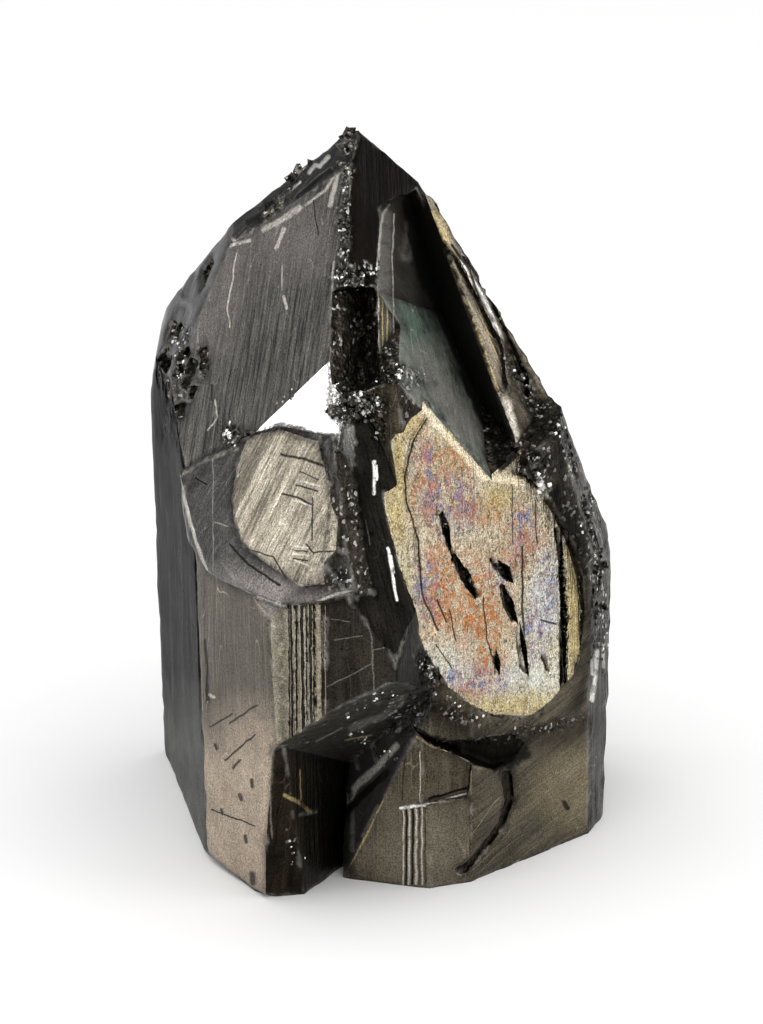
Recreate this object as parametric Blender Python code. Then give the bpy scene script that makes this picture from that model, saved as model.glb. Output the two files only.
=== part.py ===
"""A free-standing wittichenite crystal, 18.5 mm tall.

The specimen is one piece: a thick left-hand crystal with a long sloping top,
grown together with a lower crystal on its right. Both are blocks sliced down
to flat crystal faces. A later skin of growth, a contact scar, a cavity, grooves,
pits and grains are then added to them or cut from them.

A crystal face is written as (azimuth, tilt, corner): the compass direction it
looks to, with 0 as the front (-Y) and 90 as the right (+X), how far it leans
back from upright, and one point on it. Lengths are in millimetres, and the
outlines drawn on a face run level along it and then up its slope.
"""

import math
import random

import bmesh
import bpy
from mathutils import Matrix, Vector

MM = 0.001
NAME = "wittichenite_crystal"
SEED = 7

# Driving corners of the specimen, with its cut base at z = 0.
APEX = (-0.7, 0.6, 18.65)
RIDGE_FOOT = (-0.85, -3.9, 13.6)
LEFT_SHOULDER = (-4.11, 2.34, 14.99)
LEFT_EDGE = (-4.35, -2.45, 0.0)
LEFT_FRONT = (-3.5, -3.7, 0.0)
FRONT_EDGE = (-1.4, -5.6, 6.0)
MIDDLE_FOOT = (1.25, -4.05, 0.0)
RIGHT_FOOT = (5.33, -0.87, 0.0)
RIGHT_SHOULDER = (5.25, 0.3, 8.97)
HOLLOW_TIP = (1.24, 0.93, 16.64)
BLOCK_SIZE = 60.0

BASE = (0, -90, (0, 0, 0))

# The faces of the left crystal. A later skin covers most of its front facet.
FRONT_FACET = (-45.7, 23.7, (-1.7, -3.22, 12.92))
LEFT_FACES = [
    BASE,
    (-78.7, -1.5, LEFT_EDGE),
    (-56, -1.5, LEFT_FRONT),
    (-16, 0, (-2.4, -5.35, 6)),
    (8, 0, FRONT_EDGE),
    (58, 0, (0.4, -5.35, 6)),
    (35.7, 16.5, (-0.73, -5.51, 8.61)),
    (100, 0, (2.6, 1.0, 6)),
    (-150, 0, (-5.6, 3.9, 6)),
    (180, 0, (0, 4.5, 6)),
    FRONT_FACET,
    (-54.5, 29, RIDGE_FOOT),
    (-79.5, 27.1, (-5.35, 0.51, 11.6)),
    (-92, 10, (-5.5, 2.0, 12.5)),
    (-69.5, 39.4, LEFT_SHOULDER),
    (55, 26.5, RIDGE_FOOT),
    (110.6, 30.3, (0.55, 1.44, 17.45)),
    (115, 45, APEX),
    (178, 46, APEX),
    (-161.6, 34.3, LEFT_SHOULDER),
    (-60, -40, (-4.1, -2.8, 0.16)),
    (-30, -60, (-2.385, -5.354, 0.36)),
]

RIGHT_SIDES = [
    BASE,
    (-15, 0, MIDDLE_FOOT),
    (20, 0, MIDDLE_FOOT),
    (42, 0, (3.52, -2.56, 0)),
    (68, 0, RIGHT_FOOT),
    (98, -1.5, (5.75, 0.5, 3)),
    (150, 0, (5.0, 3.8, 3)),
    (180, 0, (0, 4.4, 3)),
    (-100, 0, (-0.9, -3.0, 0)),
    (38, 7, (2.77, -2.78, 8.38)),
    (80, 14, RIGHT_SHOULDER),
    (118, 24, (3.0, 0.45, 13.7)),
]

# The right crystal is a low front part, a taller rear wall and a shelf at the
# lower end of the long dark hollow between them and the left crystal.
HOLLOW_FLOOR = (81, 31, (1.75, 1.35, 12.86))
HOLLOW_RIGHT = (-64.3, -11, (1.48, 0.51, 15.75))
HOLLOW_LEFT = (70.8, 15.7, (0.0, -0.39, 16.24))
FRONT_TOP = (-14, 76, (0.45, -3.2, 13.75))
FRONT_BACK = (172, 50, (0.4, 1.5, 14.6))
WALL_FRONT = (45, 28, (2.97, 0.5, 13.75))
WALL_BACK = (172, 46, HOLLOW_TIP)
SHELF_LEFT = (-75, 0, (2.75, -2.1, 10.4))
SHELF_TOP = (-25, 66, (3.3, -1.6, 10.75))

# The cavity that opens at the foot, between the two crystals.
CAVITY_LEFT = (58, 0, (-1.99, -4.54, 0))
CAVITY_FRONT = (12, -8, (-2.86, -4.56, 0))
CAVITY_EDGE = (-80, 0, (-2.78, -5.0, 3.0))
CAVITY_RIGHT = (-50.5, 14.5, (-0.5, -3.58, 1.0))
CAVITY_ROOF = (30.3, -39.9, (-2.33, -5.37, 4.72))

# Faces that carry a drawn outline, each with the outline's own zero point.
SKIN_PLACE = (-45.7, 23.7, (-2.58, -3.98, 10.29))
SCAR_PLACE = (38, 7, (2.59, -2.55, 8.34))
RIDGE_PLACE = (55, 26.5, RIDGE_FOOT)
FRONT_PLACE = (-16, 0, (-2.4, -5.35, 6))
FOOT_PLACE = (20, 0, MIDDLE_FOOT)
SIDE_PLACE = (42, 0, (3.52, -2.56, 0))

SKIN_OUTLINE = [
    (-3.35, 0.05), (-3.38, -0.7), (-2.87, -1.33), (-2.2, -1.8), (-1.77, -2.08), (-1.0, -2.15),
    (0.6, -2.1), (1.3, -2.1), (1.86, -1.8), (2.43, -1.37), (2.5, -1.14), (2.27, -0.47),
    (2.06, 0.2), (1.9, 0.77), (1.74, 1.33), (1.5, 1.88), (1.26, 2.32), (0.79, 2.2),
    (0.19, 2.12), (-0.66, 2.02), (-1.21, 1.65), (-1.78, 1.26), (-2.52, 0.76),
]
SKIN_PATCH_OUTLINE = [
    (-1.39, 1.39), (-1.47, 0.72), (-1.3, -0.13), (-0.96, -0.67), (-0.55, -1.06), (0.16, -1.22),
    (0.79, -1.31), (1.7, -1.45), (2.19, -1.19), (2.19, -0.3), (2.02, 0.41), (1.7, 1.17),
    (1.22, 1.66), (0.9, 2.07), (0.19, 2.01), (-0.46, 1.97), (-0.99, 1.71),
]
SKIN_THICKNESS = 0.16
PATCH_RISE = 0.07
SKIN_CUT_INNER = -2.5
SKIN_CUT_OUTER = 3.0

SCAR_OUTLINE = [
    (-1.5, 4.5), (-2.1, 4.25), (-2.5, 3.9), (-2.85, 3.0), (-2.92, 2.0), (-2.8, 0.6),
    (-2.6, -0.4), (-2.25, -1.45), (-1.5, -2.85), (-0.9, -3.5), (-0.2, -4.0), (0.6, -4.3),
    (1.35, -4.42), (2.0, -4.3), (2.4, -4.0), (2.75, -3.1), (2.87, -2.0), (2.8, -1.2),
    (2.6, -0.3), (2.3, 0.4), (2.0, 1.0), (1.6, 1.6), (1.15, 2.0), (1.6, 2.9), (-0.3, 5.6),
]
SCAR_RISE = 3.0

NOTCH_OUTLINE = [(1.1, 2.2), (2.4, 1.75), (2.0, 0.9), (1.3, -0.2), (0.3, -0.4), (0.15, 0.3)]
NOTCH_DEPTH = 0.55

CLEFT_OUTLINE = [
    (-0.35, 4.4), (0.25, 4.05), (1.2, 3.9), (2.35, 3.65), (2.75, 3.25), (2.4, 2.9),
    (1.85, 2.85), (1.1, 3.3), (0.65, 3.65), (0.0, 4.0),
]
CLEFT_DEPTH = 0.7

TAIL_OUTLINE = [
    (-0.71, 2.75), (-0.3, 2.65), (-0.2, 1.8), (-0.55, 1.15), (-1.2, 0.7), (-1.85, 0.25),
    (-2.05, 0.4), (-1.35, 0.87), (-0.73, 1.37), (-0.5, 1.9),
]
TAIL_DEPTH = 0.16

STEP_OUTLINE = [(-0.8, 2.43), (1.0, 2.37), (1.1, 3.3), (0.25, 3.8), (-0.4, 4.3), (-0.85, 3.4)]
STEP_DEPTH = 0.12

# Long facets let into the wall beside the hollow.
WALL_STRIPS = [
    [(-1.1, 2.15), (-1.08, 0.7), (-0.99, -1.86), (-0.62, -1.92), (-0.3, -0.8), (-0.75, 1.6)],
    [(-0.55, 1.6), (-0.2, -0.7), (-0.05, -2.3), (0.15, -1.8), (-0.15, 1.1)],
]
STRIP_DEPTH = 0.13

# Growth steps on the faces turned away from the front: face, outline and depth.
GROWTH_STEPS = [
    ((180, 0, (0, 4.5, 6)), [(-1.9, -4.0), (0.5, -4.4), (0.9, 0.4), (-0.3, 3.1), (-1.8, 2.2)], 0.2),
    ((180, 0, (0, 4.5, 6)), [(1.6, -1.2), (3.3, -1.9), (3.9, 3.0), (2.5, 4.6), (1.3, 2.0)], 0.3),
    ((98, -1.5, (5.75, 0.5, 3)), [(0.1, -1.5), (1.9, -1.2), (2.1, 1.6), (0.8, 2.9), (-0.2, 1.0)], 0.18),
    ((178, 46, APEX), [(-1.5, -3.0), (0.8, -3.4), (1.6, -1.8), (0.2, -1.0), (-1.2, -1.7)], 0.2),
    ((118, 24, (3.0, 0.45, 13.7)), [(0.4, -3.6), (2.2, -3.2), (1.6, -0.4), (0.7, 0.6)], 0.15),
]

# Striation grooves: place along the face, width and depth.
FRONT_GROOVES = [
    (0.25, 0.1, 0.07), (0.45, 0.16, 0.12), (0.7, 0.12, 0.08), (0.9, 0.18, 0.12), (1.14, 0.1, 0.07),
]
REAR_GROOVES = [(-0.7, 0.14, 0.09), (-0.3, 0.2, 0.12), (0.25, 0.12, 0.08)]
REAR_PLACE = (150, 0, (5.0, 3.8, 5.0))
GROOVE_FOOT = -1.5
GROOVE_HEAD = 2.5

# Cracks in the scar: two ends and the width, each cut as a thin lozenge.
SCAR_CRACKS = [
    ((-1.2, 1.6), (-1.0, 0.5), 0.2),
    ((-0.9, 0.4), (-0.35, -0.95), 0.24),
    ((0.4, -0.1), (0.85, -0.85), 0.28),
    ((0.5, -0.8), (0.9, -1.95), 0.22),
    ((0.95, -1.9), (1.1, -3.4), 0.16),
    ((0.15, -2.4), (0.2, -3.1), 0.14),
    ((2.46, 0.2), (2.25, -3.9), 0.18),
]
CRACK_DEPTH = 0.22

# A grain is a squat five-sided cone without its tip, for a grain size of 1.
GRAIN_SIDES = 5
GRAIN_FOOT_RADIUS = 0.58
GRAIN_TOP_RADIUS = 0.36
GRAIN_HEIGHT = 0.85
GRAIN_WIDTH_RANGE = (0.6, 1.0)
GRAIN_HEIGHT_RANGE = (0.6, 1.2)

# Rough patches of small grains: middle, spread, count and grain size.
LEFT_GRAINS = [
    ((-0.83, -1.4, 16.35), (0.06, 0.9, 0.95), 18, (0.14, 0.32)),
    ((-0.5, -2.1, 15.6), (0.45, 0.15, 0.1), 10, (0.18, 0.36)),
    ((-0.65, -3.9, 13.25), (0.35, 0.2, 0.45), 18, (0.2, 0.46)),
    ((-3.1, -2.65, 11.65), (0.45, 0.35, 0.2), 9, (0.16, 0.36)),
    ((-0.95, -5.6, 9.0), (0.25, 0.1, 0.15), 6, (0.14, 0.28)),
    ((-0.95, 0.7, 18.3), (0.3, 0.25, 0.15), 7, (0.25, 0.5)),
    ((-2.4, 1.3, 16.7), (0.9, 0.3, 0.6), 10, (0.2, 0.42)),
    ((-1.0, 2.6, 15.2), (1.6, 0.5, 1.0), 10, (0.2, 0.5)),
]
FRONT_GRAINS = [
    ((0.3, -3.3, 13.7), (0.4, 0.3, 0.1), 9, (0.18, 0.4)),
    ((1.3, -4.05, 5.9), (0.3, 0.15, 0.3), 7, (0.12, 0.24)),
]
SHELF_GRAINS = [
    ((3.65, -1.5, 10.6), (0.4, 0.25, 0.15), 9, (0.25, 0.5)),
    ((5.4, -0.3, 7.5), (0.15, 0.4, 2.0), 14, (0.14, 0.34)),
]

# Weathered patches of small pits: middle, spread, count and pit size.
LEFT_PITS = [
    ((-4.85, 0.3, 12.1), (0.35, 0.7, 0.8), 15, (0.25, 0.55)),
    ((-5.3, 1.9, 12.2), (0.3, 0.6, 0.9), 8, (0.3, 0.6)),
    ((-4.4, 1.9, 14.3), (0.2, 0.4, 0.3), 3, (0.3, 0.5)),
    ((-1.5, 4.5, 7.0), (2.4, 0.1, 3.5), 9, (0.35, 0.8)),
]


def normal(azimuth, tilt):
    """The outward direction of a face."""
    turn, lean = math.radians(azimuth), math.radians(tilt)
    return Vector((
        math.sin(turn) * math.cos(lean),
        -math.cos(turn) * math.cos(lean),
        math.sin(lean),
    ))


def opposite(face):
    """The face of a cutter that leaves the given face on the crystal."""
    azimuth, tilt, corner = face
    return (azimuth - 180.0, -tilt, corner)


def face_frame(place):
    """A frame on a face: X runs level along it, Y up its slope and Z out of it."""
    azimuth, tilt, centre = place
    turn = math.radians(azimuth)
    out = normal(azimuth, tilt)
    level = Vector((math.cos(turn), math.sin(turn), 0.0))
    up = out.cross(level)
    turned = Matrix((level, up, out)).transposed().to_4x4()
    return Matrix.Translation(Vector(centre) * MM) @ turned


def link(name, data, collection):
    made = bpy.data.objects.new(name, data)
    collection.objects.link(made)
    return made


def crystal(name, faces, collection, growth=0.0):
    """A closed block sliced by each face in turn, all pushed out by the growth."""
    mesh = bmesh.new()
    bmesh.ops.create_cube(mesh, size=BLOCK_SIZE)
    for azimuth, tilt, corner in faces:
        out = normal(azimuth, tilt)
        cut = bmesh.ops.bisect_plane(
            mesh,
            geom=mesh.verts[:] + mesh.edges[:] + mesh.faces[:],
            plane_co=Vector(corner) + out * growth,
            plane_no=out,
            clear_outer=True,
        )
        rim = [part for part in cut["geom_cut"] if isinstance(part, bmesh.types.BMEdge)]
        if rim:
            bmesh.ops.contextual_create(mesh, geom=rim)
    bmesh.ops.scale(mesh, vec=(MM, MM, MM), verts=mesh.verts)
    bmesh.ops.recalc_face_normals(mesh, faces=mesh.faces)
    data = bpy.data.meshes.new(name)
    mesh.to_mesh(data)
    mesh.free()
    return link(name, data, collection)


def plate(name, outline, place, inner, outer):
    """A cutter: an outline on a face, thick from the inner to the outer height above it."""
    curve = bpy.data.curves.new(name, "CURVE")
    curve.dimensions = "2D"
    curve.fill_mode = "BOTH"
    curve.extrude = (outer - inner) / 2 * MM
    spline = curve.splines.new("POLY")
    spline.points.add(len(outline) - 1)
    for point, (along, up) in zip(spline.points, outline):
        point.co = (along * MM, up * MM, 0.0, 1.0)
    spline.use_cyclic_u = True
    drawn = link(name, curve, cutters)
    data = bpy.data.meshes.new_from_object(drawn)
    bpy.data.objects.remove(drawn)
    bpy.data.curves.remove(curve)
    mesh = bmesh.new()
    mesh.from_mesh(data)
    bmesh.ops.remove_doubles(mesh, verts=mesh.verts, dist=0.001 * MM)
    bmesh.ops.recalc_face_normals(mesh, faces=mesh.faces)
    mesh.transform(face_frame(place) @ Matrix.Translation((0, 0, (inner + outer) / 2 * MM)))
    mesh.to_mesh(data)
    mesh.free()
    return link(name, data, cutters)


def combine(target, tool, operation):
    """Leaves a Boolean on the target and shows its tool as wire only."""
    step = target.modifiers.new(tool.name, "BOOLEAN")
    step.operation = operation
    step.solver = "EXACT"
    step.object = tool
    tool.hide_render = True
    tool.display_type = "WIRE"


def carve(target, name, outline, place, depth, rise=0.6):
    combine(target, plate(name, outline, place, -depth, rise), "DIFFERENCE")


def striate(target, name, grooves, place):
    """Upright square-bottomed grooves side by side on a face."""
    for number, (along, width, depth) in enumerate(grooves):
        near, far = along - width / 2, along + width / 2
        outline = [(near, GROOVE_FOOT), (far, GROOVE_FOOT), (far, GROOVE_HEAD), (near, GROOVE_HEAD)]
        carve(target, f"{name}_{number}", outline, place, depth)


def lozenge(start, end, width):
    """A thin four-cornered outline between two points on a face."""
    middle = (Vector(start) + Vector(end)) / 2
    along = (Vector(end) - Vector(start)).normalized()
    across = Vector((-along.y, along.x)) * width / 2
    return [tuple(start), tuple(middle - across), tuple(end), tuple(middle + across)]


def settled(place, faces):
    """The point moved straight onto the nearest of the faces."""
    gaps = [(normal(azimuth, tilt).dot(place - Vector(corner)), azimuth, tilt)
            for azimuth, tilt, corner in faces]
    gap, azimuth, tilt = max(gaps)
    return place - gap * normal(azimuth, tilt)


def cover(target, name, patches, faces, operation):
    """Small faceted lumps on patches of the faces, each turned and sized at random."""
    spots = [patch for patch in patches for _ in range(patch[2])]
    for number, (middle, spread, _, sizes) in enumerate(spots):
        place = Vector([m + chance.uniform(-s, s) for m, s in zip(middle, spread)])
        place = settled(place, faces)
        size = chance.uniform(*sizes)
        turn = Matrix.Rotation(chance.uniform(0, math.pi), 4, "Z")
        turn = turn @ Matrix.Rotation(chance.uniform(0, math.pi), 4, "X")
        width = size * chance.uniform(*GRAIN_WIDTH_RANGE)
        height = size * chance.uniform(*GRAIN_HEIGHT_RANGE)
        stretch = Matrix.Diagonal((size, width, height, 1.0))
        mesh = bmesh.new()
        bmesh.ops.create_cone(
            mesh,
            cap_ends=True,
            segments=GRAIN_SIDES,
            radius1=GRAIN_FOOT_RADIUS,
            radius2=GRAIN_TOP_RADIUS,
            depth=GRAIN_HEIGHT,
        )
        mesh.transform(Matrix.Scale(MM, 4) @ Matrix.Translation(place) @ turn @ stretch)
        data = bpy.data.meshes.new(f"{name}_{number}")
        mesh.to_mesh(data)
        mesh.free()
        combine(target, link(data.name, data, cutters), operation)


def grown_pair():
    """The two crystals and the taller wall behind the hollow, joined in one."""
    left = crystal(NAME, LEFT_FACES, parts)
    front = crystal("right_front", RIGHT_SIDES + [HOLLOW_FLOOR, FRONT_TOP, FRONT_BACK], cutters)
    rear = crystal("right_rear", RIGHT_SIDES + [HOLLOW_RIGHT, WALL_FRONT, WALL_BACK], cutters)
    shelf = crystal("right_shelf", RIGHT_SIDES + [SHELF_LEFT, SHELF_TOP], cutters)
    roof = opposite(CAVITY_ROOF)
    hollow = [opposite(HOLLOW_FLOOR), opposite(HOLLOW_RIGHT), opposite(HOLLOW_LEFT), (0, 90, HOLLOW_TIP)]
    combine(left, crystal("cavity", [opposite(CAVITY_LEFT), roof], cutters), "DIFFERENCE")
    combine(left, crystal("scoop", [opposite(CAVITY_FRONT), CAVITY_EDGE, roof], cutters), "DIFFERENCE")
    combine(left, crystal("hollow", hollow, cutters), "DIFFERENCE")
    combine(front, crystal("cavity_side", [opposite(CAVITY_RIGHT), roof], cutters), "DIFFERENCE")
    for block in (front, rear, shelf):
        combine(left, block, "UNION")
    return left


def add_skin(target):
    """The later growth: a thin skin over the front edges, with a raised patch on it."""
    layers = [
        ("skin", SKIN_OUTLINE, SKIN_THICKNESS),
        ("skin_patch", SKIN_PATCH_OUTLINE, SKIN_THICKNESS + PATCH_RISE),
    ]
    for name, outline, thickness in layers:
        layer = crystal(name, LEFT_FACES, cutters, thickness)
        shape = plate(name + "_outline", outline, SKIN_PLACE, SKIN_CUT_INNER, SKIN_CUT_OUTER)
        combine(layer, shape, "INTERSECT")
        combine(target, layer, "UNION")


def cut_details(target):
    """The scar, the notch, the cleft, the steps, the grooves and the cracks."""
    carve(target, "scar", SCAR_OUTLINE, SCAR_PLACE, 0.0, SCAR_RISE)
    carve(target, "notch", NOTCH_OUTLINE, RIDGE_PLACE, NOTCH_DEPTH)
    carve(target, "cleft", CLEFT_OUTLINE, FOOT_PLACE, CLEFT_DEPTH)
    carve(target, "cleft_tail", TAIL_OUTLINE, SIDE_PLACE, TAIL_DEPTH)
    carve(target, "foot_step", STEP_OUTLINE, FOOT_PLACE, STEP_DEPTH)
    for number, outline in enumerate(WALL_STRIPS):
        carve(target, f"wall_strip_{number}", outline, WALL_FRONT, STRIP_DEPTH)
    for number, (place, outline, depth) in enumerate(GROWTH_STEPS):
        carve(target, f"growth_step_{number}", outline, place, depth)
    striate(target, "front_groove", FRONT_GROOVES, FRONT_PLACE)
    striate(target, "rear_groove", REAR_GROOVES, REAR_PLACE)
    for number, (start, end, width) in enumerate(SCAR_CRACKS):
        carve(target, f"crack_{number}", lozenge(start, end, width), SCAR_PLACE, CRACK_DEPTH)


def largest_body(mesh):
    """The vertices of the largest connected body of a mesh."""
    waiting = set(mesh.verts)
    largest = set()
    while waiting:
        body, spreading = set(), [waiting.pop()]
        while spreading:
            corner = spreading.pop()
            body.add(corner)
            near = [edge.other_vert(corner) for edge in corner.link_edges]
            spreading += [other for other in near if other in waiting]
            waiting.difference_update(near)
        largest = max(largest, body, key=len)
    return largest


def fill_pockets(target):
    """Keeps the finished outer surface and fills the pockets sealed between grains."""
    bpy.context.view_layer.update()
    graph = bpy.context.evaluated_depsgraph_get()
    mesh = bmesh.new()
    mesh.from_mesh(target.evaluated_get(graph).to_mesh())
    outer = largest_body(mesh)
    bmesh.ops.delete(mesh, geom=[v for v in mesh.verts if v not in outer], context="VERTS")
    target.modifiers.clear()
    mesh.to_mesh(target.data)
    mesh.free()


def tarnished_metal():
    """Dark steel-grey sulphosalt with a brown tarnish."""
    material = bpy.data.materials.new("tarnished_sulphosalt")
    material.use_nodes = True
    shader = material.node_tree.nodes["Principled BSDF"]
    shader.inputs["Base Color"].default_value = (0.105, 0.095, 0.085, 1.0)
    shader.inputs["Metallic"].default_value = 0.9
    shader.inputs["Roughness"].default_value = 0.36
    return material


for old in list(bpy.data.objects):
    bpy.data.objects.remove(old)

chance = random.Random(SEED)
parts = bpy.data.collections.new(NAME)
cutters = bpy.data.collections.new("cutters")
bpy.context.scene.collection.children.link(parts)
bpy.context.scene.collection.children.link(cutters)

specimen = grown_pair()
cover(specimen, "left_grains", LEFT_GRAINS, LEFT_FACES, "UNION")
cover(specimen, "front_grains", FRONT_GRAINS, RIGHT_SIDES + [HOLLOW_FLOOR, FRONT_TOP], "UNION")
cover(specimen, "shelf_grains", SHELF_GRAINS, RIGHT_SIDES + [SHELF_TOP], "UNION")
add_skin(specimen)
cut_details(specimen)
cover(specimen, "left_pits", LEFT_PITS, LEFT_FACES, "DIFFERENCE")
fill_pockets(specimen)
specimen.data.materials.append(tarnished_metal())
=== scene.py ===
import math
import random

import bpy
import numpy as np
from mathutils import Matrix, Vector, noise
from mathutils.bvhtree import BVHTree
from mathutils.kdtree import KDTree


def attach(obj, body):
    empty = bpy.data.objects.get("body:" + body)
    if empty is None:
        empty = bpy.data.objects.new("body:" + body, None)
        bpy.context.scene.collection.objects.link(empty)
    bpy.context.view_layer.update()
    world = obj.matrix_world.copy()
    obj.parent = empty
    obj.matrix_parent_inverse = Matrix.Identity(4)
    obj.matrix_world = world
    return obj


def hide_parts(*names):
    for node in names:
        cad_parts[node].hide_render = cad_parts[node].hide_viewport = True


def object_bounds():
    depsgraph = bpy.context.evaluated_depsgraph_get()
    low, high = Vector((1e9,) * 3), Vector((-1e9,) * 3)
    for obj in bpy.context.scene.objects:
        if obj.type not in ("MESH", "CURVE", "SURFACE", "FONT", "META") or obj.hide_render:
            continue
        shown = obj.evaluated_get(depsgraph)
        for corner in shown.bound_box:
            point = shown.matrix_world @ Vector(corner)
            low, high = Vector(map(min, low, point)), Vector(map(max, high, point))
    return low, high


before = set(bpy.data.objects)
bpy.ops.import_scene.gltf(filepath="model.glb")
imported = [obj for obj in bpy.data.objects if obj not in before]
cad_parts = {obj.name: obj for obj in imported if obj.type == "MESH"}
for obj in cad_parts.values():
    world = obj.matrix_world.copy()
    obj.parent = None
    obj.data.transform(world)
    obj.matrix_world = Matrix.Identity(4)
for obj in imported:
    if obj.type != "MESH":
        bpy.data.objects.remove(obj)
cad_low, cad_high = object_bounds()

# The stage: a wide pale table under plain soft studio light. A long lens looks
# down on the front of the specimen, and a tall soft light stands on each side
# of it, because its bright faces mirror what is to the left and the right.
MM = 0.001
LOOK_DOWN = math.radians(24.0)
LENS_MM = 250.0
EYE_DISTANCE = 177.8
EYE_TARGET = Vector((0.04, 0.0, 8.5))
TO_EYE = Vector((0.0, -math.cos(LOOK_DOWN), math.sin(LOOK_DOWN)))
VIEW_UP = Vector((0.0, math.sin(LOOK_DOWN), math.cos(LOOK_DOWN)))
TABLE_SIZE = 6.0


def soft_light(name, place, aim, width, height, power, colour=(1.0, 1.0, 1.0)):
    """A rectangular studio light at a place in millimetres, turned to face its aim."""
    lamp = bpy.data.lights.new(name, "AREA")
    lamp.shape = "RECTANGLE"
    lamp.size, lamp.size_y = width * MM, height * MM
    lamp.energy = power
    lamp.color = colour
    made = bpy.data.objects.new(name, lamp)
    bpy.context.scene.collection.objects.link(made)
    made.location = Vector(place) * MM
    away = Vector(aim) - Vector(place)
    made.rotation_euler = away.to_track_quat("-Z", "Y").to_euler()


eye = bpy.data.objects.new("camera", bpy.data.cameras.new("camera"))
bpy.context.scene.collection.objects.link(eye)
eye.data.lens = LENS_MM
eye.data.clip_start = 0.01
eye.location = (EYE_TARGET + TO_EYE * EYE_DISTANCE) * MM
eye.rotation_euler = (math.pi / 2 - LOOK_DOWN, 0.0, 0.0)
bpy.context.scene.camera = eye

bpy.ops.object.select_all(action="DESELECT")
bpy.ops.mesh.primitive_plane_add(size=TABLE_SIZE, location=(0.0, 0.0, 0.0))
table = bpy.context.object
table.name = "table"
pale = bpy.data.materials.new("pale_table")
pale.use_nodes = True
pale_shader = pale.node_tree.nodes["Principled BSDF"]
pale_shader.inputs["Base Color"].default_value = (0.92, 0.92, 0.92, 1.0)
pale_shader.inputs["Roughness"].default_value = 0.8
table.data.materials.append(pale)

soft_light("left_light", (-150, -15, 45), (0, 0, 10), 110, 110, 0.10)
soft_light("right_light", (150, -30, 40), (0, 0, 9), 100, 130, 0.09, (1.0, 0.99, 0.96))
soft_light("top_light", (0, -20, 260), (0, 0, 0), 300, 300, 0.66)

sky = bpy.data.worlds.new("studio")
sky.use_nodes = True
sky.node_tree.nodes["Background"].inputs["Color"].default_value = (1.0, 1.0, 1.0, 1.0)
sky.node_tree.nodes["Background"].inputs["Strength"].default_value = 0.35
bpy.context.scene.world = sky
bpy.context.scene.view_settings.view_transform = "Standard"

# The crystal specimen: one natural piece of dark metallic sulphosalt, two
# crystals grown together. Its flat faces come from the solid part. The mesh is
# split finely, most on the oval scar, so that grooves and grains can be cut.
CRYSTAL = "wittichenite_crystal"
LONGEST_EDGE_FRONT = 0.15
LONGEST_EDGE_SCAR = 0.085
LONGEST_EDGE_BACK = 0.6
LEAST_FACING = 0.35
TURNED_AWAY = 0.02
SCAR_MIDDLE = (2.59, -2.55, 8.34)
SCAR_REACH = 4.7
SCAR_HOLLOW = 0.12
SPLIT_ROUNDS = 12
FLAT_BEND = math.radians(0.4)
SAME_POINT = 0.0003 * MM
SAME_FACE = math.radians(0.3)
APEX = (-0.7, 0.6, 18.65)
RIDGE_FOOT = (-0.85, -3.9, 13.6)
BEVEL_CORNER = (-4.11, 2.34, 14.99)
BACK_MIDDLE = (0, 4.5, 6)
SCAR_FACE = (38, 7)

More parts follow.
